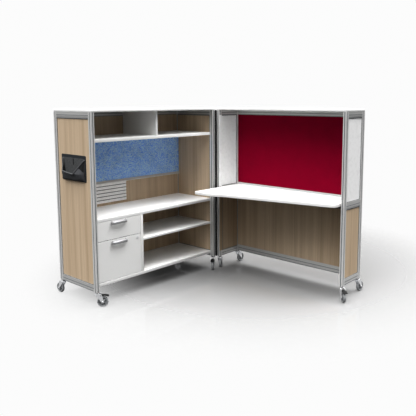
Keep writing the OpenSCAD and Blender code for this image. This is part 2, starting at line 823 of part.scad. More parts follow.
// Brake pedal on its own pin: a tongue between the arms, and a wide foot pad past them
module caster_pedal() {
    tongue_end = trail + pedal_past / 3;
    drop = pedal_past / 6;
    union() {
        translate([pedal_x, arm_out, pedal_z]) rotate([90, 0, 0])
            cylinder(r = pedal_pin_r, h = 2 * arm_out);
        translate([0, pedal_inner, 0]) rotate([90, 0, 0]) linear_extrude(2 * pedal_inner)
            union() {
                polygon([[pedal_x, pedal_z - pedal_t / 4], [tongue_end, pedal_z - pedal_t / 4],
                         [tongue_end, pedal_z + 0.75 * pedal_t], [pedal_x, pedal_z + 0.75 * pedal_t]]);
                translate([pedal_x, pedal_z]) circle(r = pedal_pin_r + pedal_t / 4);
            }
        translate([0, pedal_half, 0]) rotate([90, 0, 0]) linear_extrude(2 * pedal_half)
            polygon([[tongue_end, pedal_z - pedal_t / 4], [pedal_end, pedal_z - pedal_t / 4 - drop],
                     [pedal_end, pedal_z + 0.75 * pedal_t - drop],
                     [tongue_end, pedal_z + 0.75 * pedal_t]]);
    }
}

// A caster's piece in its corner: storage corners are mirrored into place, headings are not
module at_storage(i) {
    translate([-origin_x - corner_v(i, storage_back), -origin_y - corner_u(i), 0])
        rotate([0, 0, storage_headings[i]]) children();
}

module at_desk(i) {
    translate([-origin_x + corner_u(i), -origin_y + corner_v(i, desk_back), 0])
        rotate([0, 0, desk_headings[i]]) children();
}

module storage_caster_stems() { color([0.1, 0.1, 0.1]) for (i = [0:3]) at_storage(i) caster_stem(); }

module desk_caster_stems() { color([0.1, 0.1, 0.1]) for (i = [0:3]) at_desk(i) caster_stem(); }

module storage_fork(i) { color([0.8, 0.8, 0.82]) at_storage(i) caster_fork(i < 2); }

module storage_wheel(i) { color([0.8, 0.82, 0.83]) at_storage(i) caster_wheel(); }

module storage_pedal(i) { color([0.05, 0.05, 0.05]) at_storage(i) caster_pedal(); }

module desk_fork(i) { color([0.8, 0.8, 0.82]) at_desk(i) caster_fork(i == 1); }

module desk_wheel(i) { color([0.8, 0.82, 0.83]) at_desk(i) caster_wheel(); }

module desk_pedal(i) { color([0.05, 0.05, 0.05]) at_desk(i) caster_pedal(); }

storage_posts();
storage_rails();
storage_top();
storage_end_panels();
storage_back_panel();
upper_shelf();
shelf_divider();
credenza_top();
drawer_upright();
mid_shelf();
base_board();
pinboard();
accessory_rail();
slat_panel();
file_pocket();
drawer_guides();
storage_hinge_leaf();
hinge_pin();
storage_caster_stems();
box_drawer_tray();
box_drawer_front();
box_drawer_handle();
box_drawer_slides();
file_drawer_tray();
file_drawer_front();
file_drawer_handle();
file_drawer_slides();
file_hanging_rails();
lock_barrel();
desk_posts();
desk_rails();
desk_cap();
desk_end_panels();
desk_light_panels();
tackboard();
desk_back_panel();
worktop();
worktop_brackets();
desk_hinge_leaf();
desk_caster_stems();
storage_fork(0);  // storage_fork_1
storage_fork(1);  // storage_fork_2
storage_fork(2);  // storage_fork_3
storage_fork(3);  // storage_fork_4
storage_wheel(0);  // storage_wheel_1
storage_wheel(1);  // storage_wheel_2
storage_wheel(2);  // storage_wheel_3
storage_wheel(3);  // storage_wheel_4
storage_pedal(0);  // storage_pedal_1
storage_pedal(1);  // storage_pedal_2
desk_fork(0);  // desk_fork_1
desk_fork(1);  // desk_fork_2
desk_fork(2);  // desk_fork_3
desk_fork(3);  // desk_fork_4
desk_wheel(0);  // desk_wheel_1
desk_wheel(1);  // desk_wheel_2
desk_wheel(2);  // desk_wheel_3
desk_wheel(3);  // desk_wheel_4
desk_pedal(1);  // desk_pedal_2
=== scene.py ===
"""Looks of the mobile folding workstation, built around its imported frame.

Two framed units on casters are hinged at their front posts and stand open at a right angle. Posts,
rails, panels and the like keep the frame's own solids and get their finishes here. Boards, handles,
casters and the textile pocket are replaced by surfaces worked out with numpy. Lengths are metres in
the frame's own axes.
"""

import logging
import math
from dataclasses import dataclass
from enum import Enum
from itertools import product

import bpy
import numpy as np
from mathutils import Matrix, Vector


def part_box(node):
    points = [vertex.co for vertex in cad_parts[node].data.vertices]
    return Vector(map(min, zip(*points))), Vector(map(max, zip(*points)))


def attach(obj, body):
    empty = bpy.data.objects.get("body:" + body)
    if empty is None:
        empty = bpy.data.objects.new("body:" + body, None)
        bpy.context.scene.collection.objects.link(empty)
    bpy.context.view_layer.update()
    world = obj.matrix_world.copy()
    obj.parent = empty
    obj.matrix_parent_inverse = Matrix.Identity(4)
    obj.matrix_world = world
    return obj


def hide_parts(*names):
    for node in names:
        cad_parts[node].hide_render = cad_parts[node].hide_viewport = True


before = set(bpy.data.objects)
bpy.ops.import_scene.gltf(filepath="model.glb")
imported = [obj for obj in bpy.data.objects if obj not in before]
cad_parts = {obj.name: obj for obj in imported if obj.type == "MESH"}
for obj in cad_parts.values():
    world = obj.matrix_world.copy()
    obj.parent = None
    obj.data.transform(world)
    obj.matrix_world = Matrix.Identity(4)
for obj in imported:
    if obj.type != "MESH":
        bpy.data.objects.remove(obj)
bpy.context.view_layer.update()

log = logging.getLogger("workstation")
FULL_TURN = 2 * math.pi
HALF_TURN = math.pi
QUARTER_TURN = math.pi / 2
TINY = 1e-12
ROUND_MARGIN = 1.01
MERGE_DIGITS = 5
NOISE_MEAN = 0.5
NOISE_SPAN = (0.3, 0.7)
WAVE_RATE = 20

Colour = tuple[int, int, int]
Triple = tuple[float, float, float]
Socket = bpy.types.NodeSocket
Inputs = dict[str | int, object]


# Surfaces


@dataclass
class Shell:
    """A skin ready for a mesh: its points, its faces, and which faces are shaded smooth."""

    points: np.ndarray
    faces: list[list[int]]
    smooth: list[bool]

    def moved(self, turn: np.ndarray, shift: np.ndarray) -> "Shell":
        """The shell turned and then shifted. A mirroring matrix also reverses the faces.

        Args:
            turn: Matrix of 3 by 3 numbers.
            shift: Where the shell's own origin goes.

        Returns:
            A new shell.
        """
        mirrored = np.linalg.det(turn) < 0
        faces = [face[::-1] for face in self.faces] if mirrored else self.faces
        return Shell(self.points @ turn.T + shift, faces, self.smooth)


def joined(shells: list[Shell]) -> Shell:
    """Several shells as one.

    Args:
        shells: The shells, which stay separate skins.

    Returns:
        One shell that holds them all.
    """
    starts = np.cumsum([0] + [len(shell.points) for shell in shells])
    faces = [
        [corner + int(start) for corner in face]
        for shell, start in zip(shells, starts)
        for face in shell.faces
    ]
    smooth = [flag for shell in shells for flag in shell.smooth]
    return Shell(np.concatenate([shell.points for shell in shells]), faces, smooth)


def band_faces(rows: int, around: int, loop: bool, open_rings: bool = False) -> np.ndarray:
    """Quads between neighbouring rings of a grid of rows rings with around points each.

    Args:
        rows: Number of rings.
        around: Points on each ring.
        loop: Whether the last ring is joined to the first.
        open_rings: Whether a ring's last point is left apart from its first.

    Returns:
        An array of quads, four indices each.
    """
    index = np.arange(rows * around).reshape(rows, around)
    lower = index if loop else index[:-1]
    upper = np.roll(index, -1, axis=0) if loop else index[1:]
    quads = np.stack([lower, np.roll(lower, -1, 1), np.roll(upper, -1, 1), upper], axis=-1)
    if open_rings:
        quads = quads[:, :-1]
    return quads.reshape(-1, 4)


def ring_skin(rings: np.ndarray, loop: bool = False) -> Shell:
    """A closed skin over rings of points, each joined to the next by a band of quads.

    Rings run anticlockwise about the way they advance, so that faces point outwards.

    Args:
        rings: Array of rings by points by three.
        loop: Whether the last ring is joined to the first. If not, flat faces close both ends.

    Returns:
        The skin, with smooth bands and flat ends.
    """
    rows, around = rings.shape[:2]
    faces = band_faces(rows, around, loop).tolist()
    smooth = [True] * len(faces)
    if not loop:
        faces += [list(range(around))[::-1], list(range((rows - 1) * around, rows * around))]
        smooth += [False, False]
    return Shell(rings.reshape(-1, 3), faces, smooth)


def unit(vectors: np.ndarray) -> np.ndarray:
    """Vectors brought to length one along the last axis."""
    return vectors / np.maximum(np.linalg.norm(vectors, axis=-1, keepdims=True), TINY)


def mitre(before: np.ndarray, after: np.ndarray) -> np.ndarray:
    """How a corner moves when both of its edges move sideways by one.

    It is the sum of the two sideways directions over one plus their cosine.
    """
    return (before + after) / (1 + np.sum(before * after, axis=-1, keepdims=True))


def thick_sheet(grid: np.ndarray, thickness: float) -> Shell:
    """A sheet with two faces: the grid's own surface, and the same moved back along its normals.

    The normal at a point is the cross product of the grid's two differences there.

    Args:
        grid: Array of rows by columns by three, its normals pointing to the shown side.
        thickness: How far the second face lies behind the first.

    Returns:
        The closed sheet, its rim stitched by a band.
    """
    rows, columns = grid.shape[:2]
    normal = unit(np.cross(np.gradient(grid, axis=1), np.gradient(grid, axis=0)))
    back = grid - normal * thickness
    front_quads = band_faces(rows, columns, False, open_rings=True)
    count = rows * columns
    index = np.arange(count).reshape(rows, columns)
    rim = np.concatenate([index[0], index[1:, -1], index[-1, -2::-1], index[-2:0:-1, 0]])
    rim_next = np.roll(rim, -1)
    rim_quads = np.stack([rim_next, rim, rim + count, rim_next + count], axis=1)
    faces = np.concatenate([front_quads, front_quads[:, ::-1] + count, rim_quads]).tolist()
    points = np.concatenate([grid.reshape(-1, 3), back.reshape(-1, 3)])
    return Shell(points, faces, [True] * len(faces))


def inset(outline: np.ndarray, amount: float) -> np.ndarray:
    """An outline drawn inwards by an amount: each corner moves along the mitre of its two edges.

    Args:
        outline: Points by two, anticlockwise.
        amount: How far inwards each edge moves.

    Returns:
        The smaller outline, point for point.
    """
    edges = unit(np.roll(outline, -1, axis=0) - outline)
    outward = np.stack([edges[:, 1], -edges[:, 0]], axis=1)
    return outline - mitre(np.roll(outward, 1, axis=0), outward) * amount


def rim_steps(low: float, high: float, edge: float, steps: int) -> tuple[np.ndarray, np.ndarray]:
    """The way up a plate's side: a quarter circle, a straight side and another quarter circle.

    Args:
        low: Height of the lower face.
        high: Height of the upper face.
        edge: Radius of the quarter circles.
        steps: Chords on each.

    Returns:
        How far each ring lies inside the outline, and its height.
    """
    angles = np.linspace(0, QUARTER_TURN, steps + 1)
    inwards, rise = edge * (1 - np.sin(angles)), edge * (1 - np.cos(angles))
    return np.append(inwards, inwards[::-1]), np.append(low + rise, high - rise[::-1])


def plate(outline: np.ndarray, low: float, high: float, edge: float, steps: int = 3) -> Shell:
    """A plate with softened rims.

    Args:
        outline: Points by two, anticlockwise.
        low: Height of the lower face.
        high: Height of the upper face.
        edge: Radius of the rims.
        steps: Bands on each rim.

    Returns:
        The closed plate, lying across the third axis.
    """
    rings = [
        np.column_stack([inset(outline, amount), np.full(len(outline), height)])
        for amount, height in zip(*rim_steps(low, high, edge, steps))
    ]
    return ring_skin(np.array(rings))


def arc(
    centre: tuple[float, float], radius: float, start: float, end: float, steps: int
) -> np.ndarray:
    """Points on an arc, ends included.

    Args:
        centre: The arc's centre.
        radius: The arc's radius.
        start: Angle of the first point, in radians.
        end: Angle of the last point, in radians.
        steps: Number of chords.

    Returns:
        Points by two.
    """
    angles = np.linspace(start, end, steps + 1)
    return np.array(centre) + radius * np.column_stack([np.cos(angles), np.sin(angles)])


def rounded_rectangle(
    low: np.ndarray, high: np.ndarray, radius: float, steps: int = 4
) -> np.ndarray:
    """A rectangle with a quarter circle at each corner, anticlockwise.

    Args:
        low: The corner with the lower coordinates.
        high: The corner with the higher coordinates.
        radius: Radius of the corners.
        steps: Chords in each quarter circle.

    Returns:
        Points by two.
    """
    near, far = np.asarray(low) + radius, np.asarray(high) - radius
    centres = [(far[0], near[1]), (far[0], far[1]), (near[0], far[1]), (near[0], near[1])]
    corners = [
        arc(centre, radius, (k - 1) * QUARTER_TURN, k * QUARTER_TURN, steps)
        for k, centre in enumerate(centres)
    ]
    return np.concatenate(corners)


def rounded_corner(
    corner: np.ndarray, before: np.ndarray, after: np.ndarray, radius: float, steps: int = 14
) -> np.ndarray:
    """The arc that rounds one corner of an outline and touches both of its edges.

    Args:
        corner: The sharp corner.
        before: The corner before it.
        after: The corner after it.
        radius: Radius of the arc.
        steps: Number of chords.

    Returns:
        Points by two, from the first edge to the second.
    """
    to_before, to_after = unit(before - corner), unit(after - corner)
    half = math.acos(float(to_before @ to_after)) / 2
    centre = corner + unit(to_before + to_after) * radius / math.sin(half)
    first = corner + to_before * radius / math.tan(half) - centre
    last = corner + to_after * radius / math.tan(half) - centre
    start = math.atan2(first[1], first[0])
    turn = (math.atan2(last[1], last[0]) - start + HALF_TURN) % FULL_TURN - HALF_TURN
    return arc(tuple(centre), radius, start, start + turn, steps)


AXIS_TURNS = {
    0: np.array([[0, 0, 1], [1, 0, 0], [0, 1, 0]], float),
    1: np.array([[0, 1, 0], [0, 0, 1], [1, 0, 0]], float),
    2: np.eye(3),
}
LAID = np.array([[1, 0, 0], [0, 0, -1], [0, 1, 0]], float)


def slab(low: np.ndarray, high: np.ndarray, edge: float, corner: float | None = None) -> Shell:
    """A board that fills a box, thin along its shortest side, with soft rims and round corners.

    Args:
        low: The box's lowest corner.
        high: The box's highest corner.
        edge: Radius of the rims.
        corner: Radius of the corners, or none for that of the rims and a hair more.

    Returns:
        The board in place.
    """
    bottom, top = np.array(low), np.array(high)
    thin = int(np.argmin(top - bottom))
    across = [(thin + 1) % 3, (thin + 2) % 3]
    outline = rounded_rectangle(bottom[across], top[across], corner or edge * ROUND_MARGIN)
    return plate(outline, bottom[thin], top[thin], edge).moved(AXIS_TURNS[thin], np.zeros(3))


def lathe(profile: np.ndarray, around: int, loop: bool = True) -> Shell:
    """A surface of revolution about the third axis: each profile point swings round a full circle.

    Args:
        profile: Points by two, radius and height, outer side rising.
        around: Points round the circle.
        loop: Whether the profile closes on itself. If not, flat discs close its ends.

    Returns:
        The closed shell.
    """
    angles = np.arange(around) * FULL_TURN / around
    radii, heights = profile[:, :1], profile[:, 1:]
    rings = np.stack(
        [radii * np.cos(angles), radii * np.sin(angles), heights * np.ones_like(angles)], axis=-1
    )
    return ring_skin(rings, loop)


def carried(
    line: np.ndarray,
    section: np.ndarray,
    first: np.ndarray,
    second: np.ndarray,
    closed: bool = False,
) -> Shell:
    """A section set at each point of a line.

    Args:
        line: Points by three.
        section: Points by two, anticlockwise.
        first: Direction of the section's first axis, at each point or for all.
        second: The same for its second axis.
        closed: Whether the line returns to its first point.

    Returns:
        The closed shell.
    """
    first, second = np.broadcast_to(first, line.shape), np.broadcast_to(second, line.shape)
    rings = line[:, None] + first[:, None] * section[:, :1] + second[:, None] * section[:, 1:]
    return ring_skin(rings, closed)


def sweep(path: np.ndarray, section: np.ndarray, up: np.ndarray, closed: bool = False) -> Shell:
    """A section carried along a flat path, mitred where the path turns.

    Args:
        path: Points by three, in one plane.
        section: Points by two, anticlockwise.
        up: Normal of the path's plane.
        closed: Whether the path returns to its first point.

    Returns:
        The closed shell.
    """
    edges = unit(np.roll(path, -1, axis=0) - path)
    arriving = np.roll(edges, 1, axis=0)
    if not closed:
        edges[-1] = arriving[-1]
        arriving[0] = edges[0]
    return carried(path, section, mitre(np.cross(up, arriving), np.cross(up, edges)), up, closed)


def circle(radius: float, steps: int) -> np.ndarray:
    """Points on a circle about the origin, anticlockwise."""
    return arc((0, 0), radius, 0, FULL_TURN * (1 - 1 / steps), steps - 1)


# Finishes


def tone(red: int, green: int, blue: int) -> Triple:
    """A screen colour as the linear colour that the shader needs.

    Args:
        red: From 0 to 255.
        green: From 0 to 255.
        blue: From 0 to 255.

    Returns:
        Linear red, green and blue.
    """
    screen = np.array([red, green, blue]) / 255
    linear = np.where(screen <= 0.04045, screen / 12.92, ((screen + 0.055) / 1.055) ** 2.4)
    return tuple(linear.tolist())


class Graph:
    """A node tree while it is put together. A value is another node's socket or a constant."""

    def __init__(self, tree: bpy.types.NodeTree) -> None:
        """Starts from the tree of a material or of the world.

        Args:
            tree: The tree, with its first nodes.
        """
        self.nodes = tree.nodes
        self.links = tree.links

    def feed(self, node: bpy.types.Node, inputs: Inputs) -> None:
        """Gives values to a node's inputs.

        Args:
            node: The node.
            inputs: Values by the input's name or number.
        """
        for name, value in inputs.items():
            if isinstance(value, Socket):
                self.links.new(value, node.inputs[name])
            else:
                node.inputs[name].default_value = value

    def node(self, kind: str, inputs: Inputs | None = None, **settings: object) -> bpy.types.Node:
        """Adds a node.

        Args:
            kind: Its type.
            inputs: Values by the input's name or number, if it has any.
            settings: Its own settings.

        Returns:
            The node.
        """
        made = self.nodes.new(kind)
        for name, setting in settings.items():
            setattr(made, name, setting)
        self.feed(made, inputs or {})
        return made

    def reckon(self, kind: str, first: object, second: object) -> Socket:
        """One step of arithmetic between two values.

        Args:
            kind: The Math node's operation.
            first: A value.
            second: A value.

        Returns:
            The result's socket.
        """
        return self.node("ShaderNodeMath", {0: first, 1: second}, operation=kind).outputs["Value"]

    def plus(self, first: object, second: object) -> Socket:
        """The sum of two values."""
        return self.reckon("ADD", first, second)

    def times(self, first: object, second: object) -> Socket:
        """The product of two values."""
        return self.reckon("MULTIPLY", first, second)

    def lobe(self, place: Socket, middle: Triple, power: float) -> Socket:
        """A soft round spot: the cosine to its middle, no lower than zero, raised to a power.

        Args:
            place: The direction's socket.
            middle: The direction of its middle, of length one.
            power: The power.

        Returns:
            The socket of its strength, one in its middle.
        """
        cosine = self.node("ShaderNodeVectorMath", {0: place, 1: middle}, operation="DOT_PRODUCT")
        return self.reckon("POWER", self.reckon("MAXIMUM", cosine.outputs["Value"], 0.0), power)


class Recipe(Graph):
    """A material's node tree while it is put together."""

    def __init__(self, name: str) -> None:
        """Starts from a plain shader.

        Args:
            name: Name of the material.
        """
        self.material = bpy.data.materials.new(name)
        self.material.use_nodes = True
        super().__init__(self.material.node_tree)
        self.shader = self.nodes["Principled BSDF"]
        self.place = self.node("ShaderNodeTexCoord").outputs["Object"]

    def fix(self, **values: object) -> None:
        """Gives values to the shader's inputs, named with underscores for spaces."""
        self.feed(self.shader, {name.replace("_", " "): value for name, value in values.items()})

    def noise(
        self,
        scale: float | Triple,
        detail: float = 2.0,
        distortion: float = 0.0,
        roughness: float = 0.5,
    ) -> Socket:
        """Noise in object coordinates.

        Args:
            scale: Cells per metre, for all axes or for each.
            detail: Octaves.
            distortion: How far the noise is bent by itself.
            roughness: Weight of the finer octaves.

        Returns:
            The noise's value, about 0.5 on average.
        """
        scales = (scale,) * 3 if isinstance(scale, float) else scale
        stretched = self.node("ShaderNodeMapping", {"Vector": self.place, "Scale": scales})
        inputs = {
            "Vector": stretched.outputs["Vector"],
            "Scale": 1.0,
            "Detail": detail,
            "Distortion": distortion,
            "Roughness": roughness,
        }
        return self.node("ShaderNodeTexNoise", inputs).outputs["Fac"]

    def threads(self, pitch: float, direction: str) -> Socket:
        """Parallel threads as a slightly bent sine wave across one axis.

        At a scale of one the wave runs through WAVE_RATE radians in a metre.

        Args:
            pitch: Distance between threads.
            direction: The axis across the threads: X, Y or Z.

        Returns:
            The height of the threads, from 0 to 1.
        """
        scale = FULL_TURN / (WAVE_RATE * pitch)
        inputs = {"Vector": self.place, "Scale": scale, "Distortion": 0.6, "Detail": 1.0}
        return self.node("ShaderNodeTexWave", inputs, bands_direction=direction).outputs["Fac"]

    def ramp(self, value: Socket, reach: float, *colours: Colour) -> Socket:
        """Three colours laid along a value, about its mean.

        Args:
            value: The noise that chooses the colour.
            reach: How far the first and the last lie from the mean.
            colours: The three screen colours.

        Returns:
            The colour's socket.
        """
        node = self.node("ShaderNodeValToRGB", {"Fac": value})
        elements = node.color_ramp.elements
        elements.new(NOISE_MEAN)
        for element, step, colour in zip(elements, (-reach, 0.0, reach), colours):
            element.position = NOISE_MEAN + step
            element.color = (*tone(*colour), 1.0)
        return node.outputs["Color"]

    def spread(self, value: Socket, low: float, high: float) -> Socket:
        """A noise's usual span spread over another range.

        Args:
            value: The noise.
            low: Result at the span's lower end.
            high: Result at its upper end.

        Returns:
            The result's socket.
        """
        names = ("Value", "From Min", "From Max", "To Min", "To Max")
        inputs = dict(zip(names, (value, *NOISE_SPAN, low, high)))
        return self.node("ShaderNodeMapRange", inputs).outputs["Result"]

    def around_one(self, value: Socket, swing: float) -> Socket:
        """A value spread from one minus a swing to one plus it."""
        return self.spread(value, 1 - swing, 1 + swing)

    def dye(self, colour: object, shade: Socket) -> None:
        """Feeds the shader's colour.

        Args:
            colour: A colour's socket, or a screen colour.
            shade: The value that it is multiplied by.
        """
        base = colour if isinstance(colour, Socket) else tone(*colour)
        node = self.node("ShaderNodeVectorMath", {0: base, "Scale": shade}, operation="SCALE")
        self.fix(Base_Color=node.outputs["Vector"])

    def bump(self, height: Socket, depth: float, strength: float = 0.5) -> None:
        """Raises the surface along its normal, for the light only.

        Args:
            height: The socket with heights from 0 to 1.
            depth: Height of one unit, in metres.
            strength: Share of the effect that is kept.
        """
        inputs = {"Height": height, "Strength": strength, "Distance": depth}
        self.fix(Normal=self.node("ShaderNodeBump", inputs).outputs["Normal"])

    def fade(self, middle: Triple, near: float, far: float) -> None:
        """Lets the surface fade to nothing with its distance from a place.

        Args:
            middle: The place.
            near: Distance up to which it is solid.
            far: Distance from which it is gone.
        """
        away = self.node("ShaderNodeVectorMath", {0: self.place, 1: middle}, operation="DISTANCE")
        reach = {"Value": away.outputs["Value"], "From Min": near, "From Max": far}
        share = self.node("ShaderNodeMapRange", reach, interpolation_type="SMOOTHSTEP")
        clear = self.node("ShaderNodeBsdfTransparent")
        inputs = {
            "Fac": share.outputs["Result"],
            1: self.shader.outputs["BSDF"],
            2: clear.outputs["BSDF"],
        }
        mixed = self.node("ShaderNodeMixShader", inputs).outputs["Shader"]
        self.feed(self.nodes["Material Output"], {"Surface": mixed})


class Grain(Enum):
    """The way that fine lines run on a surface, as cells per metre along each axis."""

    UPRIGHT = (900.0, 900.0, 6.0)
    LEVEL = (6.0, 6.0, 900.0)
    NONE = (260.0, 260.0, 260.0)


@dataclass(frozen=True)
class Finish:
    """What all finishes share: a name, and the slot of the record that they stand for."""

    name: str
    slot: str

    def mix(self, recipe: Recipe) -> None:
        """Adds this finish's nodes to the recipe.

        Args:
            recipe: The material's node tree.
        """
        raise NotImplementedError

    def material(self) -> bpy.types.Material:
        """The finish's material, made the first time that it is asked for.

        Returns:
            The material.
        """
        label = f"{self.name}_finish"
        found = bpy.data.materials.get(label)
        if found is None:
            recipe = Recipe(label)
            self.mix(recipe)
            found = recipe.material
        return found


@dataclass(frozen=True)
class Metal(Finish):
    """Drawn, rolled or plated metal: fine lines, slow cloudiness and a varying gloss."""

    colour: Colour
    rough: float
    grain: Grain = Grain.UPRIGHT
    contrast: float = 0.10
    metallic: float = 1.0
    cloud_cells: float = 7.0
    rough_span: tuple[float, float] = (0.85, 1.2)
    line_depth: float = 0.00004

    def mix(self, recipe: Recipe) -> None:
        """Adds this finish's nodes to the recipe.

        Args:
            recipe: The material's node tree.
        """
        lines = recipe.noise(self.grain.value, detail=3)
        fine = recipe.spread(lines, 1 - self.contrast, 1 + self.contrast / 2)
        clouds = recipe.noise(self.cloud_cells, detail=3)
        recipe.dye(self.colour, recipe.times(fine, recipe.around_one(clouds, self.contrast / 3)))
        low, high = self.rough_span
        roughness = recipe.spread(lines, self.rough * low, self.rough * high)
        recipe.fix(Metallic=self.metallic, Roughness=roughness)
        recipe.bump(lines, self.line_depth)


@dataclass(frozen=True)
class Laminate(Finish):
    """Pale melamine: a fine pebbled texture, faint clouds and a satin gloss."""

    colour: Colour
    rough: float = 0.38
    rough_span: tuple[float, float] = (0.9, 1.12)
    cloud_cells: float = 4.0
    cloud_span: tuple[float, float] = (0.985, 1.01)
    pebble_cells: float = 1500.0
    pebble_depth: float = 0.00003

    def mix(self, recipe: Recipe) -> None:
        """Adds this finish's nodes to the recipe.

        Args:
            recipe: The material's node tree.
        """
        clouds = recipe.noise(self.cloud_cells, detail=4)
        recipe.dye(self.colour, recipe.spread(clouds, *self.cloud_span))
        low, high = self.rough_span
        roughness = recipe.spread(clouds, self.rough * low, self.rough * high)
        recipe.fix(Roughness=roughness, Specular_IOR_Level=0.2)
        recipe.bump(recipe.noise(self.pebble_cells), self.pebble_depth, 0.35)


@dataclass(frozen=True)
class Oak(Finish):
    """Oak laminate with an upright grain: broad soft streaks, narrow lines and short pores."""

    light: Colour = (217, 198, 174)
    middle: Colour = (205, 185, 160)
    dark: Colour = (189, 168, 142)
    reach: float = 0.18
    stave_share: float = 0.55
    stave_cells: Triple = (17.0, 17.0, 0.35)
    streak_cells: Triple = (75.0, 75.0, 1.1)
    line_cells: Triple = (420.0, 420.0, 4.5)
    pore_cells: Triple = (1300.0, 1300.0, 34.0)
    line_span: tuple[float, float] = (0.93, 1.05)
    pore_span: tuple[float, float] = (0.96, 1.02)
    rough_span: tuple[float, float] = (0.62, 0.52)
    pore_depth: float = 0.00005

    def mix(self, recipe: Recipe) -> None:
        """Adds this finish's nodes to the recipe.

        Args:
            recipe: The material's node tree.
        """
        staves = recipe.noise(self.stave_cells, detail=1.5, distortion=0.2)
        streaks = recipe.noise(self.streak_cells, detail=4, distortion=0.4)
        lines = recipe.noise(self.line_cells, detail=3)
        pores = recipe.noise(self.pore_cells, detail=1)
        figure = recipe.plus(
            recipe.times(staves, self.stave_share), recipe.times(streaks, 1 - self.stave_share)
        )
        base = recipe.ramp(figure, self.reach, self.dark, self.middle, self.light)
        fine, specks = recipe.spread(lines, *self.line_span), recipe.spread(pores, *self.pore_span)
        recipe.dye(base, recipe.times(fine, specks))
        recipe.fix(Roughness=recipe.spread(lines, *self.rough_span), Specular_IOR_Level=0.12)
        recipe.bump(recipe.plus(lines, pores), self.pore_depth)


@dataclass(frozen=True)
class Felt(Finish):
    """Pressed felt: short strokes of lighter and darker fibre, soft patches and a dull sheen."""

    dark: Colour = (114, 160, 250)
    middle: Colour = (162, 206, 255)
    light: Colour = (220, 240, 255)
    reach: float = 0.12
    stroke_cells: Triple = (42.0, 42.0, 90.0)
    fibre_cells: Triple = (900.0, 900.0, 700.0)
    patch_cells: float = 14.0
    fibre_swing: float = 0.14
    patch_swing: float = 0.07
    pile: float = 0.0006

    def mix(self, recipe: Recipe) -> None:
        """Adds this finish's nodes to the recipe.

        Args:
            recipe: The material's node tree.
        """
        strokes = recipe.noise(self.stroke_cells, detail=5, distortion=2.4, roughness=0.62)
        fibres = recipe.noise(self.fibre_cells, detail=3, distortion=1.5)
        patches = recipe.around_one(recipe.noise(self.patch_cells), self.patch_swing)
        base = recipe.ramp(strokes, self.reach, self.dark, self.middle, self.light)
        recipe.dye(base, recipe.times(patches, recipe.around_one(fibres, self.fibre_swing)))
        recipe.fix(Roughness=0.95, Sheen_Weight=0.4, Sheen_Roughness=0.5, Specular_IOR_Level=0.2)
        recipe.bump(recipe.plus(strokes, fibres), self.pile, 0.7)


@dataclass(frozen=True)
class Weave(Finish):
    """Plain woven cloth: two sets of threads that cross, slubs, and soft uneven dye."""

    colour: Colour
    pitch: float = 0.0016
    contrast: float = 0.22
    slub_cells: float = 160.0
    dye_cells: float = 9.0
    dye_swing: float = 0.04
    thread_depth: float = 0.0003

    def mix(self, recipe: Recipe) -> None:
        """Adds this finish's nodes to the recipe.

        Args:
            recipe: The material's node tree.
        """
        cross = recipe.reckon(
            "MAXIMUM", recipe.threads(self.pitch, "X"), recipe.threads(self.pitch, "Z")
        )
        woven = recipe.spread(cross, 1 - self.contrast, 1 + self.contrast / 3)
        slubs = recipe.noise(self.slub_cells, detail=3, distortion=0.6)
        cloth = recipe.times(woven, recipe.around_one(slubs, self.contrast / 3))
        uneven = recipe.around_one(recipe.noise(self.dye_cells, detail=3), self.dye_swing)
        recipe.dye(self.colour, recipe.times(cloth, uneven))
        recipe.fix(Roughness=0.95, Specular_IOR_Level=0.05)
        recipe.bump(cross, self.thread_depth, 0.6)


@dataclass(frozen=True)
class Moulded(Finish):
    """Moulded plastic or paint: a fine leathery texture and a gloss that varies a little."""

    colour: Colour
    rough: float
    texture: float = 0.00006
    coat: float = 0.0
    rough_span: tuple[float, float] = (0.85, 1.15)
    pebble_cells: float = 700.0
    cloud_cells: float = 30.0
    cloud_swing: float = 0.05

    def mix(self, recipe: Recipe) -> None:
        """Adds this finish's nodes to the recipe.

        Args:
            recipe: The material's node tree.
        """
        pebbles = recipe.noise(self.pebble_cells, detail=3)
        clouds = recipe.noise(self.cloud_cells, detail=3)
        recipe.dye(self.colour, recipe.around_one(clouds, self.cloud_swing))
        low, high = self.rough_span
        roughness = recipe.spread(pebbles, self.rough * low, self.rough * high)
        recipe.fix(Roughness=roughness, Coat_Weight=self.coat, Coat_Roughness=0.15)
        recipe.bump(pebbles, self.texture)


ALLOY = "aluminium_frame"
UPRIGHT, LEVEL = Grain.UPRIGHT, Grain.LEVEL
# The posts' colour is lighter than the rails', though both are the same aluminium: painted light on
# the posts.
POST = Metal("satin_aluminium_upright_painted_light", ALLOY, (234, 234, 233), 0.42, UPRIGHT, 0.08, 0.5)
RAIL = Metal("satin_aluminium_level", ALLOY, (216, 216, 215), 0.42, LEVEL, 0.08, 0.6)
ACCESSORY = Metal("accessory_aluminium", ALLOY, (226, 226, 225), 0.45, LEVEL, 0.08, 0.25)
GASKET = Moulded("panel_gasket", ALLOY, (124, 126, 128), 0.5)
INSERT = Moulded("groove_insert", ALLOY, (132, 134, 137), 0.5)
WHITE = Laminate("white_laminate", "white_laminate", (248, 248, 247))
OAK = Oak("oak_laminate", "oak_laminate")
FELT = Felt("blue_pressed_felt", "pinboard_felt")
RED_CLOTH = Weave("dark_red_cloth", "tackboard_fabric", (136, 2, 43))
FROSTED = Moulded("frosted_panel", "pale_panel", (254, 254, 254), 0.5, 0.000004)
SLAT = Moulded("slat_grey", "slat_grey", (250, 249, 248), 0.5)
SHADOW = Moulded("slat_shadow", "slat_grey", (126, 125, 124), 0.6)
TEXTILE = Weave("pocket_textile", "pocket_textile", (90, 91, 94), 0.0022, 0.3)
LINING = Weave("pocket_lining", "pocket_textile", (94, 95, 96), 0.0022, 0.45)
BINDING = Weave("pocket_binding", "pocket_textile", (66, 69, 72), 0.0018, 0.25)
PIPING = Weave("pocket_piping", "pocket_textile", (104, 105, 107), 0.0018, 0.25)
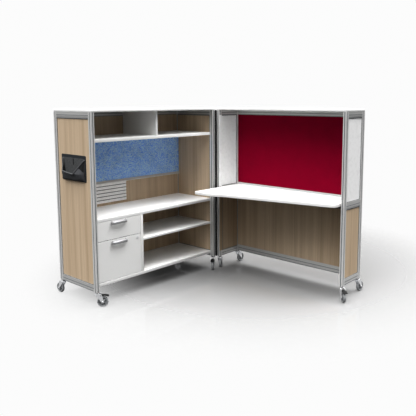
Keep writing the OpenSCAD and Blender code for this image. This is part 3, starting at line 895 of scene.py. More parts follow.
# Near black, laid on as painted shade in the pocket's slot and in the fold of its pouch.
POCKET_PAINTED_SHADE = Moulded("pocket_painted_shade", "pocket_textile", (8, 8, 9), 0.7)
TRAY = Laminate("tray_white", "tray_white", (222, 222, 221), 0.45)
SLIDE = Metal("zinc_slide", "slide_steel", (178, 180, 184), 0.3, LEVEL)
HANDLE = Metal("handle_grey", "handle_metal", (174, 174, 176), 0.5, LEVEL, 0.08, 0.45)
HINGE = Moulded("hinge_black", "hinge_black", (22, 22, 23), 0.4)
PIN = Metal("pin_steel", "pin_steel", (60, 60, 62), 0.4)
LOCK = Metal("lock_chrome", "lock_chrome", (232, 232, 233), 0.35, Grain.NONE, 0.04, 0.25)
BRACKET = Moulded("bracket_paint", "bracket_paint", (120, 121, 124), 0.5, 0.00008)
CHROME = Metal("caster_chrome", "caster_chrome", (240, 241, 243), 0.2, Grain.NONE, 0.04, 0.45)
TYRE = Moulded("caster_tyre", "caster_wheel", (166, 168, 170), 0.4, 0.00002, 0.1)
HUB = Moulded("caster_hub", "caster_wheel", (132, 134, 136), 0.35, 0.00003, 0.2)
PEDAL = Moulded("pedal_black", "pedal_black", (10, 10, 11), 0.65)
STEM = Moulded("stem_black", "stem_black", (40, 40, 42), 0.4)


# Pieces


def piece(name: str, shell: Shell, finish: Finish, body: str, *nodes: str) -> bpy.types.Object:
    """A finished piece in the scene, at the origin, with its place in its mesh.

    Args:
        name: Name of the piece.
        shell: Its skin, in the frame's axes.
        finish: Its finish.
        body: The body that carries it.
        nodes: The frame's nodes that it stands for.

    Returns:
        The new object.
    """
    mesh = bpy.data.meshes.new(name)
    mesh.from_pydata(shell.points, [], shell.faces)
    mesh.polygons.foreach_set("use_smooth", shell.smooth)
    mesh.materials.append(finish.material())
    mesh.update()
    made = bpy.data.objects.new(name, mesh)
    bpy.context.scene.collection.objects.link(made)
    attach(made, body)
    if nodes:
        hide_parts(*nodes)
    log.info("%s: %d points, %d faces, on %s", name, len(shell.points), len(shell.faces), body)
    return made


def points_of(node: str) -> np.ndarray:
    """The points of one of the frame's own nodes, as an array of points by three."""
    return np.array([vertex.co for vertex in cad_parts[node].data.vertices])


def corners_of(node: str) -> np.ndarray:
    """The lowest and the highest corner of a node's box, as an array of two by three."""
    return np.array([list(corner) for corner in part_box(node)])


def solids_of(node: str) -> list[tuple[np.ndarray, np.ndarray]]:
    """The boxes of a node's separate solids, found by spreading the lowest number over its edges.

    Args:
        node: Name of the node.

    Returns:
        The lowest and highest corner of each.
    """
    co = points_of(node)
    _, mark = np.unique(co.round(MERGE_DIGITS), axis=0, return_inverse=True)
    mark = mark.reshape(-1)
    ends = mark[np.array([edge.vertices[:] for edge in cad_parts[node].data.edges])]
    label = np.arange(mark.max() + 1)
    while True:
        least = np.minimum(label[ends[:, 0]], label[ends[:, 1]])
        spread = label.copy()
        np.minimum.at(spread, ends[:, 0], least)
        np.minimum.at(spread, ends[:, 1], least)
        if (spread == label).all():
            break
        label = spread
    owner = label[mark]
    return [(co[owner == one].min(0), co[owner == one].max(0)) for one in np.unique(owner)]


def carry(finish: Finish, *nodes: str) -> None:
    """Gives some of the frame's own nodes a finish.

    Args:
        finish: The finish.
        nodes: Names of the nodes.
    """
    for node in nodes:
        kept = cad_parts[node]
        kept.data.materials.clear()
        kept.data.materials.append(finish.material())
        log.info("%s: carried over with %s", node, finish.name)


@dataclass(frozen=True)
class Plan:
    """A unit's plan laid in the frame: across its front from the hinge, back from it, and up."""

    across: tuple[float, float]
    back: tuple[float, float]

    def turn(self) -> np.ndarray:
        """The matrix that takes plan coordinates to the frame's axes.

        Returns:
            Three by three numbers.
        """
        matrix = np.eye(3)
        matrix[:2, 0] = self.across
        matrix[:2, 1] = self.back
        return matrix

    def origin(self) -> np.ndarray:
        """The hinge axis on the floor, in the frame."""
        return corners_of("hinge_pin").mean(0) * np.array([1, 1, 0])

    def put(self, shell: Shell) -> Shell:
        """A shell drawn in plan coordinates, moved into the frame."""
        return shell.moved(self.turn(), self.origin())


STORAGE_PLAN = Plan(across=(0.0, -1.0), back=(-1.0, 0.0))
DESK_PLAN = Plan(across=(1.0, 0.0), back=(0.0, 1.0))
UNITS = ("storage", "desk")
POST_SIZES = {"storage": np.array([0.036, 0.025]), "desk": np.array([0.025, 0.036])}


@dataclass
class FrameWork:
    """The aluminium posts and rails of both units, their inserts and their panels' gaskets."""

    gasket_r: float = 0.0020
    gasket_sides: int = 8
    groove_depth: float = 0.0025
    insert_w: float = 0.0078
    insert_t: float = 0.0013
    insert_edge: float = 0.0002
    line_places: tuple[float, ...] = (0.06, 0.5)
    line_h: float = 0.0045
    line_proud: float = 0.0003
    line_edge: float = 0.0001
    facing_t: float = 0.0006
    facing_edge: float = 0.0002

    def build(self) -> None:
        """Dresses the frame's nodes, lays the gaskets and fills the grooves."""
        for name in UNITS:
            carry(POST, f"{name}_posts")
            carry(RAIL, f"{name}_rails")
            carry(OAK, f"{name}_end_panels", f"{name}_back_panel")
        carry(FROSTED, "desk_light_panels")
        for node in ("storage_end_panels", "desk_end_panels", "desk_light_panels"):
            self.lay_gaskets(node)
        for name in UNITS:
            self.fill_grooves(name)
        for name in UNITS:
            self.line_rails(name)
        self.face_post("desk_end_panels", OAK)
        self.face_post("desk_light_panels", FROSTED)

    def fill_grooves(self, name: str) -> None:
        """A flat insert on the floor of the groove in each face of a unit's posts.

        Args:
            name: Name of the unit.
        """
        low, high = corners_of(f"{name}_posts")
        half = POST_SIZES[name] / 2
        columns = [(low[axis] + half[axis], high[axis] - half[axis]) for axis in (0, 1)]
        strips = []
        for x, y, axis, side in product(*columns, (0, 1), (-1.0, 1.0)):
            middle, reach = np.array([x, y]), np.full(2, self.insert_w / 2)
            middle[axis] += side * (half[axis] - self.groove_depth + self.insert_t / 2)
            reach[axis] = self.insert_t / 2
            foot = np.append(middle - reach, low[2] + self.groove_depth)
            head = np.append(middle + reach, high[2] - self.groove_depth)
            strips.append(slab(foot, head, self.insert_edge))
        piece(f"{name}_groove_inserts", joined(strips), INSERT, name)

    def line_rails(self, name: str) -> None:
        """Two thin level lines on both faces of each rail: near its lower rim and at its middle.

        Args:
            name: Name of the unit.
        """
        lines = []
        for low, high in solids_of(f"{name}_rails"):
            across = int(np.argmin((high - low)[:2]))
            for place, face in product(self.line_places, (low[across], high[across])):
                height = low[2] + place * (high[2] - low[2])
                foot, head = low.copy(), high.copy()
                foot[across], head[across] = face - self.line_proud, face + self.line_proud
                foot[2], head[2] = height - self.line_h / 2, height + self.line_h / 2
                lines.append(slab(foot, head, self.line_edge))
        piece(f"{name}_rail_lines", joined(lines), INSERT, name)

    def face_post(self, node: str, finish: Finish) -> None:
        """A thin facing that carries an end panel's inner face on over the post at the hinge.

        Args:
            node: The node that holds the panel.
            finish: Its finish.
        """
        low, high = corners_of(node)
        post = corners_of("desk_posts")[0]
        inner, back = post[:2] + POST_SIZES["desk"]
        foot = np.array([inner, post[1] + self.facing_t, low[2]])
        head = np.array([inner + self.facing_t, back, high[2]])
        piece(f"{node}_facing", slab(foot, head, self.facing_edge), finish, "desk")

    def lay_gaskets(self, node: str) -> None:
        """A thin round bead along each edge of both faces of a pair of end panels.

        The bead's line is a rectangle one bead inside the panel's edge, and its section a circle.
        The face beside the drawers has none, because their slides pass it.

        Args:
            node: The node that holds the two panels.
        """
        co = points_of(node)
        name = node.split("_")[0]
        normal, level = (1, 0) if name == "storage" else (0, 1)
        section = circle(self.gasket_r, self.gasket_sides)
        middle = (co[:, normal].min() + co[:, normal].max()) / 2
        beads = []
        for half in (co[co[:, normal] < middle], co[co[:, normal] > middle]):
            low, high = half.min(0), half.max(0)
            first, last = low + self.gasket_r, high - self.gasket_r
            beside_drawers = name == "storage" and low[normal] < middle
            for face in (low[normal], high[normal])[: 1 if beside_drawers else 2]:
                line = np.full((4, 3), face)
                line[:, level] = [first[level], last[level], last[level], first[level]]
                line[:, 2] = [first[2], first[2], last[2], last[2]]
                beads.append(sweep(line, section, np.eye(3)[normal], closed=True))
        piece(f"{node}_gaskets", joined(beads), GASKET, name)


@dataclass
class Boards:
    """The white boards of both units: each is its node's box with soft rims."""

    edge: float = 0.0012
    corner: float = 0.0020
    cap_edge: float = 0.0030
    cap_corner: float = 0.0050
    storage_boards: tuple[str, ...] = (
        "upper_shelf",
        "shelf_divider",
        "credenza_top",
        "drawer_upright",
        "mid_shelf",
        "base_board",
    )

    def build(self) -> None:
        """Makes the boards and the two caps."""
        for node in self.storage_boards:
            board = slab(*corners_of(node), self.edge, self.corner)
            piece(f"{node}_board", board, WHITE, "storage", node)
        for node, body in (("storage_top", "storage"), ("desk_cap", "desk")):
            cap = slab(*corners_of(node), self.cap_edge, self.cap_corner)
            piece(f"{node}_board", cap, WHITE, body, node)


@dataclass
class Worktop:
    """The desk's top, deep at the hinge, stepped, tapering to a rounded nose, and its brackets."""

    straight: float = 0.170
    step: float = 0.095
    waist: float = 0.254
    narrow: float = 0.063
    corner_r: float = 0.014
    bend_r: float = 0.150
    hollow_r: float = 0.300
    nose_r: float = 0.045
    edge: float = 0.0035
    edge_steps: int = 5

    def build(self) -> None:
        """Makes the top with rounded rims and dresses the brackets.

        Its outline is straight edges in the desk's plan, joined by arcs.
        """
        (left, deep, bottom), (right, back, top) = corners_of("worktop") - DESK_PLAN.origin()
        bend = left + self.straight
        corners = np.array(
            [
                [left, back],
                [left, deep],
                [bend, deep],
                [bend + self.step, -self.waist],
                [right, -self.narrow],
                [right, back],
            ]
        )
        radii = (0.0, self.corner_r, self.bend_r, self.hollow_r, self.nose_r, 0.0)
        before, after = np.roll(corners, 1, axis=0), np.roll(corners, -1, axis=0)
        outline = [
            corner[None] if radius == 0 else rounded_corner(corner, prior, following, radius)
            for corner, prior, following, radius in zip(corners, before, after, radii)
        ]
        board = plate(np.concatenate(outline), bottom, top, self.edge, self.edge_steps)
        piece("worktop_board", DESK_PLAN.put(board), WHITE, "desk", "worktop")
        carry(BRACKET, "worktop_brackets")


@dataclass
class WallFittings:
    """What hangs on the two back walls: pinboard, accessory rail, slats and the red tackboard."""

    wrap: float = 0.0035
    corner: float = 0.0045
    strip_t: float = 0.0045
    strip_edge: float = 0.0002
    digits: int = 4

    def build(self) -> None:
        """Makes the two cloth-covered boards and dresses the rail and the slats.

        The red cloth throws no coloured light on the pale panels beside it.
        """
        pinboard = slab(*corners_of("pinboard"), self.wrap, self.corner)
        piece("pinboard_felt_board", pinboard, FELT, "storage", "pinboard")
        tackboard = slab(*corners_of("tackboard"), self.wrap, self.corner)
        cloth = piece("tackboard_cloth_board", tackboard, RED_CLOTH, "desk", "tackboard")
        cloth.visible_diffuse = False
        carry(ACCESSORY, "accessory_rail")
        carry(SLAT, "slat_panel")
        self.line_slats()

    def line_slats(self) -> None:
        """A dark strip of painted shade on the floor of each groove of the slat panel.

        The grooves' floors are the second of the panel's levels, counted from its back.
        """
        co = points_of("slat_panel")
        level = np.unique(co[:, 0].round(self.digits))[1]
        on_level = np.isclose(co[:, 0], level, atol=10**-self.digits)
        heights = np.unique(co[on_level, 2].round(self.digits)).reshape(-1, 2)
        near, far = co[:, 1].min() + self.strip_t, co[:, 1].max() - self.strip_t
        strips = [
            slab(
                np.array([level, near, low]),
                np.array([level + self.strip_t, far, high]),
                self.strip_edge,
            )
            for low, high in heights
        ]
        piece("slat_panel_groove_shade", joined(strips), SHADOW, "storage")


@dataclass
class FilePocket:
    """The textile pocket on the outer end: a back sheet and a pouch that bulges under a piped lip.

    Across the pouch a runs from 0 at the front to 1 at the back, and b from 0 at its foot to 1 at
    its lip. Each sag is a sine over the pouch: its height, its radians along a and b, its start.
    """

    sheet_t: float = 0.0035
    cloth_t: float = 0.0022
    corner: float = 0.010
    corner_share: float = 0.4
    binding: float = 0.022
    lining_t: float = 0.0008
    edges: tuple[float, float] = (0.03, 0.93)
    lip_places: tuple[float, ...] = (0.0, 0.37, 0.91, 0.95, 1.0)
    lip_heights: tuple[float, ...] = (0.86, 0.28, 0.36, 0.62, 0.88)
    bulge_heights: tuple[float, ...] = (0.0, 0.30, 0.88)
    bulge_outs: tuple[float, ...] = (0.024, 0.043, 0.014)
    sag_room: float = 0.002
    sags: tuple[tuple[float, ...], ...] = ((0.0012, 9.0, 3.0, 0.0), (0.0009, 17.0, -5.0, 1.0))
    side_power: int = 6
    foot_share: float = 0.22
    # Where the black sheet of painted shade lies over the pouch's front pleat.
    pleat_shade_start: float = 0.01
    pleat_shade_w: float = 0.2
    pleat_shade_span: tuple[float, float] = (0.45, 0.97)
    pleat_shade_n: tuple[int, int] = (12, 20)
    pleat_shade_share: float = 0.9
    piping_r: float = 0.0048
    piping_sides: int = 10
    slot: tuple[float, float] = (0.011, 0.048)
    slot_down: float = 0.026
    grid_n: tuple[int, int] = (96, 36)

    def span(self) -> tuple[np.ndarray, np.ndarray]:
        """The pocket's box in the storage unit's plan.

        Returns:
            Its lowest and its highest corner.
        """
        corners = corners_of("file_pocket") - STORAGE_PLAN.origin()
        plan = corners @ np.linalg.inv(STORAGE_PLAN.turn()).T
        return plan.min(0), plan.max(0)

    def surface(self, a: np.ndarray, b: np.ndarray) -> np.ndarray:
        """Points of the pouch's outer face.

        Its lip falls straight from the front corner, rises slowly to the back and then climbs.
        It stands out by a bulge that is a flat-topped arch across, rounds in at the foot, is
        deepest at the lip's lowest point and draws in above it. The sags are added to the bulge.

        Args:
            a: Places across the pouch.
            b: Places up it.

        Returns:
            Plan coordinates, with a last axis of three.
        """
        low, high = self.span()
        height = b * np.interp(a, self.lip_places, self.lip_heights)
        side = np.clip(1 - np.abs(2 * a - 1) ** self.side_power, 0, 1) ** 0.5
        foot = np.clip(1 - (1 - np.clip(b / self.foot_share, 0, 1)) ** 2, 0, 1) ** 0.5
        reach = np.interp(height, self.bulge_heights, self.bulge_outs) - self.sheet_t
        sag = sum(size * np.sin(p * a + q * b + start) for size, p, q, start in self.sags)
        out = self.sheet_t + (reach - self.sag_room + sag) * side * foot
        up = low[2] + self.sheet_t + height * (high[2] - low[2] - 2 * self.sheet_t)
        along = self.edges[0] + a * (self.edges[1] - self.edges[0])
        return np.stack([low[0] + out, low[1] + along * (high[1] - low[1]), up], axis=-1)

    def add(self, name: str, shell: Shell, finish: Finish, *nodes: str) -> None:
        """Makes one piece of the pocket.

        Args:
            name: Last part of its name.
            shell: Its skin, in the storage unit's plan.
            finish: Its finish.
            nodes: The frame's nodes that it stands for.
        """
        piece(f"file_pocket_{name}", STORAGE_PLAN.put(shell), finish, "storage", *nodes)

    def build(self) -> None:
        """Makes the bound back sheet with lining and the slot's patch of painted shade, the pouch
        with piping, and a black sheet of painted shade in its front pleat.
        """
        low, high = (corner[1:] for corner in self.span())
        self.add("back", self.panel(low, high, 0.0, self.sheet_t), BINDING, "file_pocket")
        lined = self.panel(low + self.binding, high - self.binding, self.sheet_t, self.lining_t)
        self.add("lining", lined, LINING)
        # The slot is not cut: a thin black patch on the lining paints the shade inside its opening.
        width, height = self.slot
        slot_low = np.array([(low[0] + high[0] - width) / 2, high[1] - self.slot_down - height])
        slot_foot = self.sheet_t + self.lining_t
        slot = self.panel(slot_low, slot_low + self.slot, slot_foot, self.lining_t / 2)
        self.add("slot", slot, POCKET_PAINTED_SHADE)

        a, b = np.meshgrid(*(np.linspace(0, 1, count) for count in self.grid_n))
        self.add("pouch", thick_sheet(self.surface(a, b), self.cloth_t), TEXTILE)

        # A thin black sheet just proud of the pouch's front, widening upwards: painted shade in the
        # fold of its front gusset.
        foot, top = self.pleat_shade_span
        across, up = self.pleat_shade_n
        share, b = np.meshgrid(np.linspace(0, 1, across), np.linspace(foot, top, up))
        a = self.pleat_shade_start + share * self.pleat_shade_w * (b - foot) / (1 - foot)
        proud = self.surface(a, b) + np.array([self.lining_t, 0.0, 0.0])
        self.add("pleat", thick_sheet(proud, self.lining_t * self.pleat_shade_share), POCKET_PAINTED_SHADE)

        places = np.linspace(0, 1, self.grid_n[0])
        self.add("piping", self.tube(self.surface(places, np.ones_like(places))), PIPING)

    def panel(self, low: np.ndarray, high: np.ndarray, foot: float, thick: float) -> Shell:
        """A flat sheet parallel to the unit's end.

        Args:
            low: Its lowest corner, from front to back and up.
            high: Its highest corner.
            foot: How far its hidden face lies from the pocket's back.
            thick: Its thickness.

        Returns:
            The sheet, in the storage unit's plan.
        """
        start = self.span()[0][0] + foot
        corner = min(self.corner, (high - low).min() * self.corner_share)
        sheet = plate(rounded_rectangle(low, high, corner), start, start + thick, thick / 3)
        return sheet.moved(AXIS_TURNS[0], np.zeros(3))

    def tube(self, line: np.ndarray) -> Shell:
        """A round cord sewn along a line: a circle square to the line at each of its points.

        Args:
            line: Points by three.

        Returns:
            The closed tube.
        """
        along = unit(np.gradient(line, axis=0))
        first = unit(np.cross(np.eye(3)[0], along))
        ring = circle(self.piping_r, self.piping_sides)
        return carried(line, ring, first, np.cross(along, first))


@dataclass
class Drawers:
    """The box drawer and the file drawer: fronts, trays, slides, bar handles and the lock."""

    edge: float = 0.0012
    corner: float = 0.0020
    corner_steps: int = 12
    face_steps: int = 3
    long_edge: float = 0.05
    long_parts: int = 8
    bar: tuple[float, float] = (0.009, 0.022)
    bevel: float = 0.0065
    bar_edge: float = 0.0008
    bar_skip: int = 4
    seam: float = 0.0022
    slope: float = 0.009
    lock_clear: float = 0.0001
    lock_neck: float = 0.009

    def build(self) -> None:
        """Makes both drawers, with a grey strip of painted shade in the seam under the box drawer's
        front.
        """
        low, high = corners_of("box_drawer_front")
        lift = np.array([0.0, 0.0, self.seam])
        front = slab(low + lift, high, self.edge, self.corner)
        piece("box_drawer_face", front, WHITE, "box_drawer", "box_drawer_front")
        # The gap under the front is closed by a grey strip, set back by the seam: painted shade.
        strip_high = np.array([high[0] - self.seam, high[1], low[2] + self.seam])
        piece("box_drawer_seam_shade", slab(low, strip_high, self.bar_edge), GASKET, "box_drawer")
        piece("file_drawer_face", self.holed_front(), WHITE, "file_drawer", "file_drawer_front")
        for drawer in ("box_drawer", "file_drawer"):
            handle = self.handle(f"{drawer}_handle")
            piece(f"{drawer}_bar_handle", handle, HANDLE, drawer, f"{drawer}_handle")
            carry(TRAY, f"{drawer}_tray")
            carry(SLIDE, f"{drawer}_slides")
        carry(SLIDE, "file_hanging_rails", "drawer_guides")
        carry(LOCK, "lock_barrel")

    def holed_front(self) -> Shell:
        """The file drawer's front with the lock's hole: rings run from the hole out and back.

        The hole's points lie on a circle, at the angles of the rim's points seen from the lock.

        Returns:
            The closed front, in the frame's axes.
        """
        low, high = corners_of("file_drawer_front")
        lock_low, lock_high = corners_of("lock_barrel")[:, 1:]
        half = (lock_high[0] - lock_low[0]) / 2
        centre = np.array([lock_low[0] + half, lock_high[1] - half])
        rim = rounded_rectangle(low[1:], high[1:], self.corner, self.corner_steps)
        edges = np.roll(rim, -1, axis=0) - rim
        parts = np.where(np.linalg.norm(edges, axis=1) > self.long_edge, self.long_parts, 1)
        rim = np.concatenate(
            [
                start + np.arange(count)[:, None] / count * edge
                for start, edge, count in zip(rim, edges, parts)
            ]
        )
        angles = np.arctan2(rim[:, 1] - centre[1], rim[:, 0] - centre[0])
        radius = self.lock_neck + self.lock_clear
        hole = centre + radius * np.column_stack([np.cos(angles), np.sin(angles)])
        insets, depths = rim_steps(low[0], high[0], self.edge, self.face_steps)
        loops = [hole, *(inset(rim, amount) for amount in insets), hole]
        depths = np.concatenate([[low[0]], depths, [high[0]]])
        rings = [np.column_stack([np.full(len(rim), x), loop]) for x, loop in zip(depths, loops)]
        shell = ring_skin(np.array(rings), loop=True)
        around = len(rim)
        for start in (0, (len(rings) - 2) * around, (len(rings) - 1) * around):
            shell.smooth[start : start + around] = [False] * around
        return shell

    def handle(self, node: str) -> Shell:
        """A bar on two legs with sloped shoulders: a bevelled section carried along a bent line.

        Args:
            node: The handle's node, whose box gives the width, reach and height.

        Returns:
            The handle, in the frame's axes.
        """
        low, high = corners_of(node)
        half, tall = self.bar[0] / 2, self.bar[1] / 2
        start, end = low[1] + half, high[1] - half
        wall, nose = low[0], high[0] - half
        bends = [
            [wall, start],
            [nose - self.slope, start],
            [nose, start + self.slope],
            [nose, end - self.slope],
            [nose - self.slope, end],
            [wall, end],
        ]
        path = np.column_stack([bends, np.full(len(bends), (low[2] + high[2]) / 2)])
        below = [[-half, -tall], [half, -tall], [half, tall]]
        corners = np.array([*below, [self.bevel - half, tall], [-half, tall - self.bevel]])
        before, after = np.roll(corners, 1, axis=0), np.roll(corners, -1, axis=0)
        rims = [
            rounded_corner(corner, prior, following, self.bar_edge)[:: self.bar_skip]
            for corner, prior, following in zip(corners, before, after)
        ]
        return sweep(path, np.concatenate(rims), np.eye(3)[2])


@dataclass
class Caster:
    """One swivel caster, drawn with its swivel axis at the origin, its wheel trailing along +X."""

    name: str
    number: int
    wheel_r: float = 0.040
    wheel_w: float = 0.022
    tyre_steps: int = 12
    tyre_around: int = 72
    rim_r: float = 0.031
    rim_share: float = 0.82
    hub_lap: float = 0.0004
    hub_share: float = 0.8
    hub_slope: float = 1.6
    hub_r: float = 0.0088
    hub_half: float = 0.0131
    hub_n: tuple[int, int] = (100, 14)
    dish: float = 0.0062
    dish_waves: tuple[float, float] = (0.62, 0.38)
    bore_r: float = 0.00405
    spokes: int = 5
    trail: float = 0.040
    arm_in: float = 0.0135
    arm_t: float = 0.003
    crown_r: float = 0.015
    crown_t: float = 0.004
    crown_top: float = 0.1036
    pedal_share: float = 0.65
    back_steps: tuple[tuple[float, float], ...] = ((2.5, 4.0), (1.5, 1.5))
    eye_r: float = 0.010
    eye_steps: int = 10
    rivet_r: float = 0.0064
    rivet_dome: float = 0.0015
    rivet_tip: float = 0.0008
    rivet_shoulder: tuple[float, float] = (0.7, 0.8)
    rivet_around: int = 24
    axle_clear: float = 0.00005

    def node(self, part: str) -> str:
        """The name of the caster's node for a part: fork, wheel or pedal."""
        return f"{self.name}_{part}_{self.number}"

    def put(self, shell: Shell) -> Shell:
        """A part drawn trailing along +X, turned to where the caster's wheel stands.

        The swivel axis is that of the unit's post which is nearest to the wheel.

        Args:
            shell: The part's skin.

        Returns:
            The part in the frame's axes.
        """
        low, high = corners_of(f"{self.name}_posts")
        half = np.append(POST_SIZES[self.name] / 2, 0.0)
        wheel = corners_of(self.node("wheel")).mean(0)
        nearer_low = np.abs(wheel - low) < np.abs(wheel - high)
        pivot = np.where(nearer_low, low + half, high - half) * np.array([1, 1, 0])
        cos, sin = unit((wheel - pivot)[:2])
        return shell.moved(np.array([[cos, -sin, 0], [sin, cos, 0], [0, 0, 1]]), pivot)

    def on_axle(self, shell: Shell) -> Shell:
        """A part turned on the third axis, laid on the wheel's axle."""
        return shell.moved(LAID, np.array([self.trail, 0.0, self.wheel_r]))

    def tyre(self) -> Shell:
        """The tyre: a ring whose tread crowns by half a shoulder and whose shoulders are round.

        Returns:
            The tyre, about its axle.
        """
        half, shoulder = self.wheel_w / 2, self.wheel_w / 4
        angles = np.linspace(-QUARTER_TURN, QUARTER_TURN, self.tyre_steps + 1)
        bulge = self.wheel_r - shoulder + shoulder * np.cos(angles)
        across = (half - shoulder / 2) * np.sin(angles) + shoulder / 2 * np.sin(angles) ** 3
        outer = np.column_stack([bulge, across])
        side = half * self.rim_share
        inner = np.array([[self.rim_r, side], [self.rim_r, -side]])
        return lathe(np.concatenate([outer, inner]), self.tyre_around)

    def hub(self) -> Shell:
        """The hub: a ring whose sides are hollowed between the spokes.

        The side's depth is a squared sine along the radius times a cosine wave round it.

        Returns:
            The hub, about its axle.
        """
        around, across = self.hub_n
        angle = np.arange(around) * FULL_TURN / around
        share = np.linspace(0, 1, across)[:, None]
        radius = self.hub_r + (self.rim_r + self.hub_lap - self.hub_r) * share
        rim_half = self.wheel_w / 2 * self.hub_share
        fall = np.clip(share * self.hub_slope, 0, 1)
        level = self.hub_half + (rim_half - self.hub_half) * fall
        mean, swing = self.dish_waves
        hollow = np.sin(HALF_TURN * share) ** 2 * (mean + swing * np.cos(self.spokes * angle))
        cos, sin = np.cos(angle), np.sin(angle)
        face = np.stack([radius * cos, radius * sin, level - self.dish * hollow], axis=-1)
        bore = np.stack([self.bore_r * cos, self.bore_r * sin, self.hub_half + 0 * cos], axis=-1)
        below = np.array([1.0, 1.0, -1.0])
        rings = [(bore * below)[None], face * below, face[::-1], bore[None]]
        return ring_skin(np.concatenate(rings), loop=True)

    def fork(self) -> Shell:
        """The pressed fork: two arms with soft rims, the crown between them, and the riveted axle.

        The arms' back edge steps up past the pedal, by multiples of the crown's thickness.

        Returns:
            The fork, trailing along +X.
        """
        crown_low = self.crown_top - self.crown_t
        pedal_x = self.pedal_share * self.trail
        front = [
            [-self.crown_r, self.crown_top],
            [-self.crown_r, crown_low - self.crown_t],
            [self.trail - self.eye_r, self.wheel_r],
        ]
        eye = arc((self.trail, self.wheel_r), self.eye_r, HALF_TURN, FULL_TURN, self.eye_steps)
        back = [
            [pedal_x + out * self.crown_t, self.crown_top - down * self.crown_t]
            for out, down in self.back_steps
        ]
        outline = np.concatenate([front, eye[1:], back, [[self.crown_r, self.crown_top]]])
        arms = [
            plate(outline, low, low + self.arm_t, self.arm_t / 4, 2).moved(LAID, np.zeros(3))
            for low in (self.arm_in, -self.arm_in - self.arm_t)
        ]
        reach = np.array([self.crown_r, self.arm_in + self.arm_t / 2])
        plan = rounded_rectangle(-reach, reach, self.crown_t / 2)
        crown = plate(plan, crown_low, self.crown_top, self.crown_t / 5)
        return joined([*arms, crown, self.on_axle(self.axle())])

    def axle(self) -> Shell:
        """The axle with a domed rivet head at each end, as one turned profile.

        Returns:
            The axle, about the wheel's axis.
        """
        out, rod = self.arm_in + self.arm_t, self.bore_r - self.axle_clear
        inner, risen = self.rivet_shoulder
        upper = np.array(
            [
                [rod, out],
                [self.rivet_r, out],
                [self.rivet_r * inner, out + self.rivet_dome * risen],
                [self.rivet_tip, out + self.rivet_dome],
            ]
        )
        profile = np.concatenate([(upper * np.array([1, -1]))[::-1], upper])
        return lathe(profile, self.rivet_around, loop=False)

    def build(self) -> None:
        """Makes the fork, the tyre, the hub and, where there is one, the pedal."""
        fork, wheel, pedal = (self.node(part) for part in ("fork", "wheel", "pedal"))
        body = f"{self.name}_caster_{self.number}"
        piece(f"{fork}_pressed", self.put(self.fork()), CHROME, body, fork)
        piece(f"{wheel}_tyre", self.put(self.on_axle(self.tyre())), TYRE, wheel, wheel)
        piece(f"{wheel}_hub", self.put(self.on_axle(self.hub())), HUB, wheel)
        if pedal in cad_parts:
            carry(PEDAL, pedal)


@dataclass
class Casters:
    """All eight casters and their stems."""

    count: int = 4

    def build(self) -> None:
        """Makes four casters under each unit."""
        for name in UNITS:
            carry(STEM, f"{name}_caster_stems")
            for number in range(1, self.count + 1):
                Caster(name, number).build()


@dataclass
class Hinge:
    """The continuous hinge between the units, with a strip that closes each leaf's notches."""

    leaf_t: float = 0.002
    knuckle_r: float = 0.0061
    gap: float = 0.013
    inset: float = 0.0001

    def build(self) -> None:
        """Dresses both leaves and the pin, and adds the two strips."""
        carry(HINGE, "storage_hinge_leaf", "desk_hinge_leaf")
        carry(PIN, "hinge_pin")
        far = self.gap / 2 - self.inset
        near = self.gap / 2 - self.leaf_t + self.inset
        inner = math.sqrt(self.knuckle_r**2 - near**2)
        for name, plan in zip(UNITS, (STORAGE_PLAN, DESK_PLAN)):
            low, high = corners_of(f"{name}_hinge_leaf")
            foot = np.array([near, inner, low[2] + self.leaf_t])
            head = np.array([far, far, high[2] - self.leaf_t])
            piece(f"{name}_hinge_strip", plan.put(slab(foot, head, self.inset)), HINGE, name)


@dataclass(frozen=True)
class Glow:
    """A soft round spot of light in the sky.

    Its middle lies at an azimuth from the first axis and at a height over the floor, in degrees.
    A larger focus draws it together.
    """

    azimuth: float
    height: float
    focus: float
    strength: float

    def toward(self) -> Triple:
        """The direction to the spot's middle."""
        turn, rise = math.radians(self.azimuth), math.radians(self.height)
        return math.cos(rise) * math.cos(turn), math.cos(rise) * math.sin(turn), math.sin(rise)


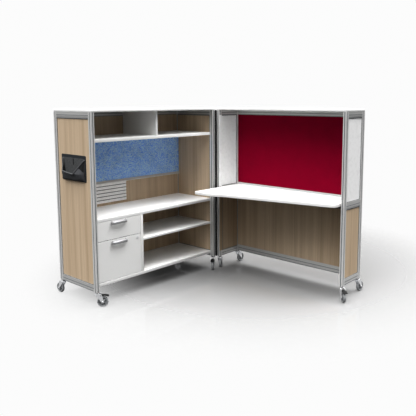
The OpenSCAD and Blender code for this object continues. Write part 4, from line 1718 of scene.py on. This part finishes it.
@dataclass
class Studio:
    """A pale floor, soft light and the camera at the photograph's angle."""

    lens: float = 47.24
    sensor: float = 36.0
    shift: tuple[float, float] = (-0.0638, -0.0884)
    stand: Triple = (3.1986, -3.4652, 1.4856)
    pitch: float = 82.54
    yaw: float = 40.75
    gamma: float = 0.8
    floor_half: float = 30.0
    floor_tone: Colour = (152, 152, 152)
    floor_rough: float = 0.06
    floor_gloss: float = 0.6
    floor_middle: Triple = (-0.3, 0.9, 0.0)
    floor_fade: tuple[float, float] = (0.9, 2.1)
    floor_shine: float = 0.3
    backdrop: float = 0.978
    fill: float = 0.11
    glows: tuple[Glow, ...] = (
        Glow(0, 90, 12, 5.7),
        Glow(45, 52, 40, 9.9),
        Glow(90, 68, 12, 5.8),
        Glow(270, 52, 40, 7.0),
        Glow(270, 68, 12, 3.2),
        Glow(315, 52, 40, 3.1),
        Glow(0, 68, 12, 0.8),
        Glow(0, 38, 12, 0.65),
        Glow(225, 38, 12, 1.1),
        Glow(180, 8, 12, 1.0),
        Glow(270, 38, 12, 0.7),
        Glow(270, 16, 12, 0.4),
        Glow(90, 38, 12, 0.6),
        Glow(315, 38, 12, 0.6),
    )

    def camera(self) -> None:
        """Sets the camera, placed from the hinge's axis."""
        data = bpy.data.cameras.new("camera")
        data.lens = self.lens
        data.sensor_width = self.sensor
        data.shift_x, data.shift_y = self.shift
        camera = bpy.data.objects.new("camera", data)
        camera.location = DESK_PLAN.origin() + np.array(self.stand)
        camera.rotation_euler = (math.radians(self.pitch), 0.0, math.radians(self.yaw))
        bpy.context.scene.collection.objects.link(camera)
        bpy.context.scene.camera = camera

    def floor(self) -> None:
        """Lays a pale, glossy floor that fades out round the object.

        It throws no light back, so that the recesses stay dark.
        """
        half = self.floor_half
        mesh = bpy.data.meshes.new("floor")
        corners = [(-half, -half, 0), (half, -half, 0), (half, half, 0), (-half, half, 0)]
        mesh.from_pydata(corners, [], [(0, 1, 2, 3)])
        recipe = Recipe("studio_floor")
        recipe.fix(
            Base_Color=(*tone(*self.floor_tone), 1.0),
            Roughness=self.floor_rough,
            Specular_IOR_Level=self.floor_gloss,
        )
        recipe.fade(self.floor_middle, *self.floor_fade)
        mesh.materials.append(recipe.material)
        floor = bpy.data.objects.new("floor", mesh)
        floor.visible_diffuse = False
        bpy.context.scene.collection.objects.link(floor)

    def sky(self) -> None:
        """Surrounds the scene with soft spots of light on a backdrop that is seen as plain white.

        Above the floor the light is the sum of the spots. Below it there is a faint fill, which is
        brighter for what mirrors in the object, as a pale floor would be.
        """
        world = bpy.data.worlds.new("studio")
        world.use_nodes = True
        bpy.context.scene.world = world
        graph = Graph(world.node_tree)
        plus, times = graph.plus, graph.times
        toward = graph.node("ShaderNodeTexCoord").outputs["Generated"]
        split = graph.node("ShaderNodeSeparateXYZ", {"Vector": toward})
        above = graph.reckon("GREATER_THAN", split.outputs["Z"], 0.0)
        light = 0.0
        for glow in self.glows:
            spot = graph.lobe(toward, glow.toward(), glow.focus)
            light = plus(light, times(spot, glow.strength))
        rays = graph.node("ShaderNodeLightPath").outputs
        seen = rays["Is Camera Ray"]
        below = plus(times(rays["Is Glossy Ray"], self.floor_shine), self.fill)
        mirrored = times(graph.reckon("SUBTRACT", 1.0, above), below)
        total = plus(times(light, above), mirrored)
        hidden = times(total, graph.reckon("SUBTRACT", 1.0, seen))
        strength = plus(hidden, times(seen, self.backdrop))
        white = (1.0, 1.0, 1.0, 1.0)
        graph.feed(graph.nodes["Background"], {"Color": white, "Strength": strength})

    def build(self) -> None:
        """Makes the whole studio."""
        view = bpy.context.scene.view_settings
        view.view_transform = "Standard"
        view.gamma = self.gamma
        self.camera()
        self.floor()
        self.sky()


def main() -> None:
    """Builds the studio and then the workstation, piece by piece."""
    logging.basicConfig(level=logging.INFO, format="%(name)s: %(message)s")
    for part in (
        Studio(),
        FrameWork(),
        Boards(),
        Worktop(),
        WallFittings(),
        FilePocket(),
        Drawers(),
        Casters(),
        Hinge(),
    ):
        part.build()


if __name__ == "__main__":
    main()
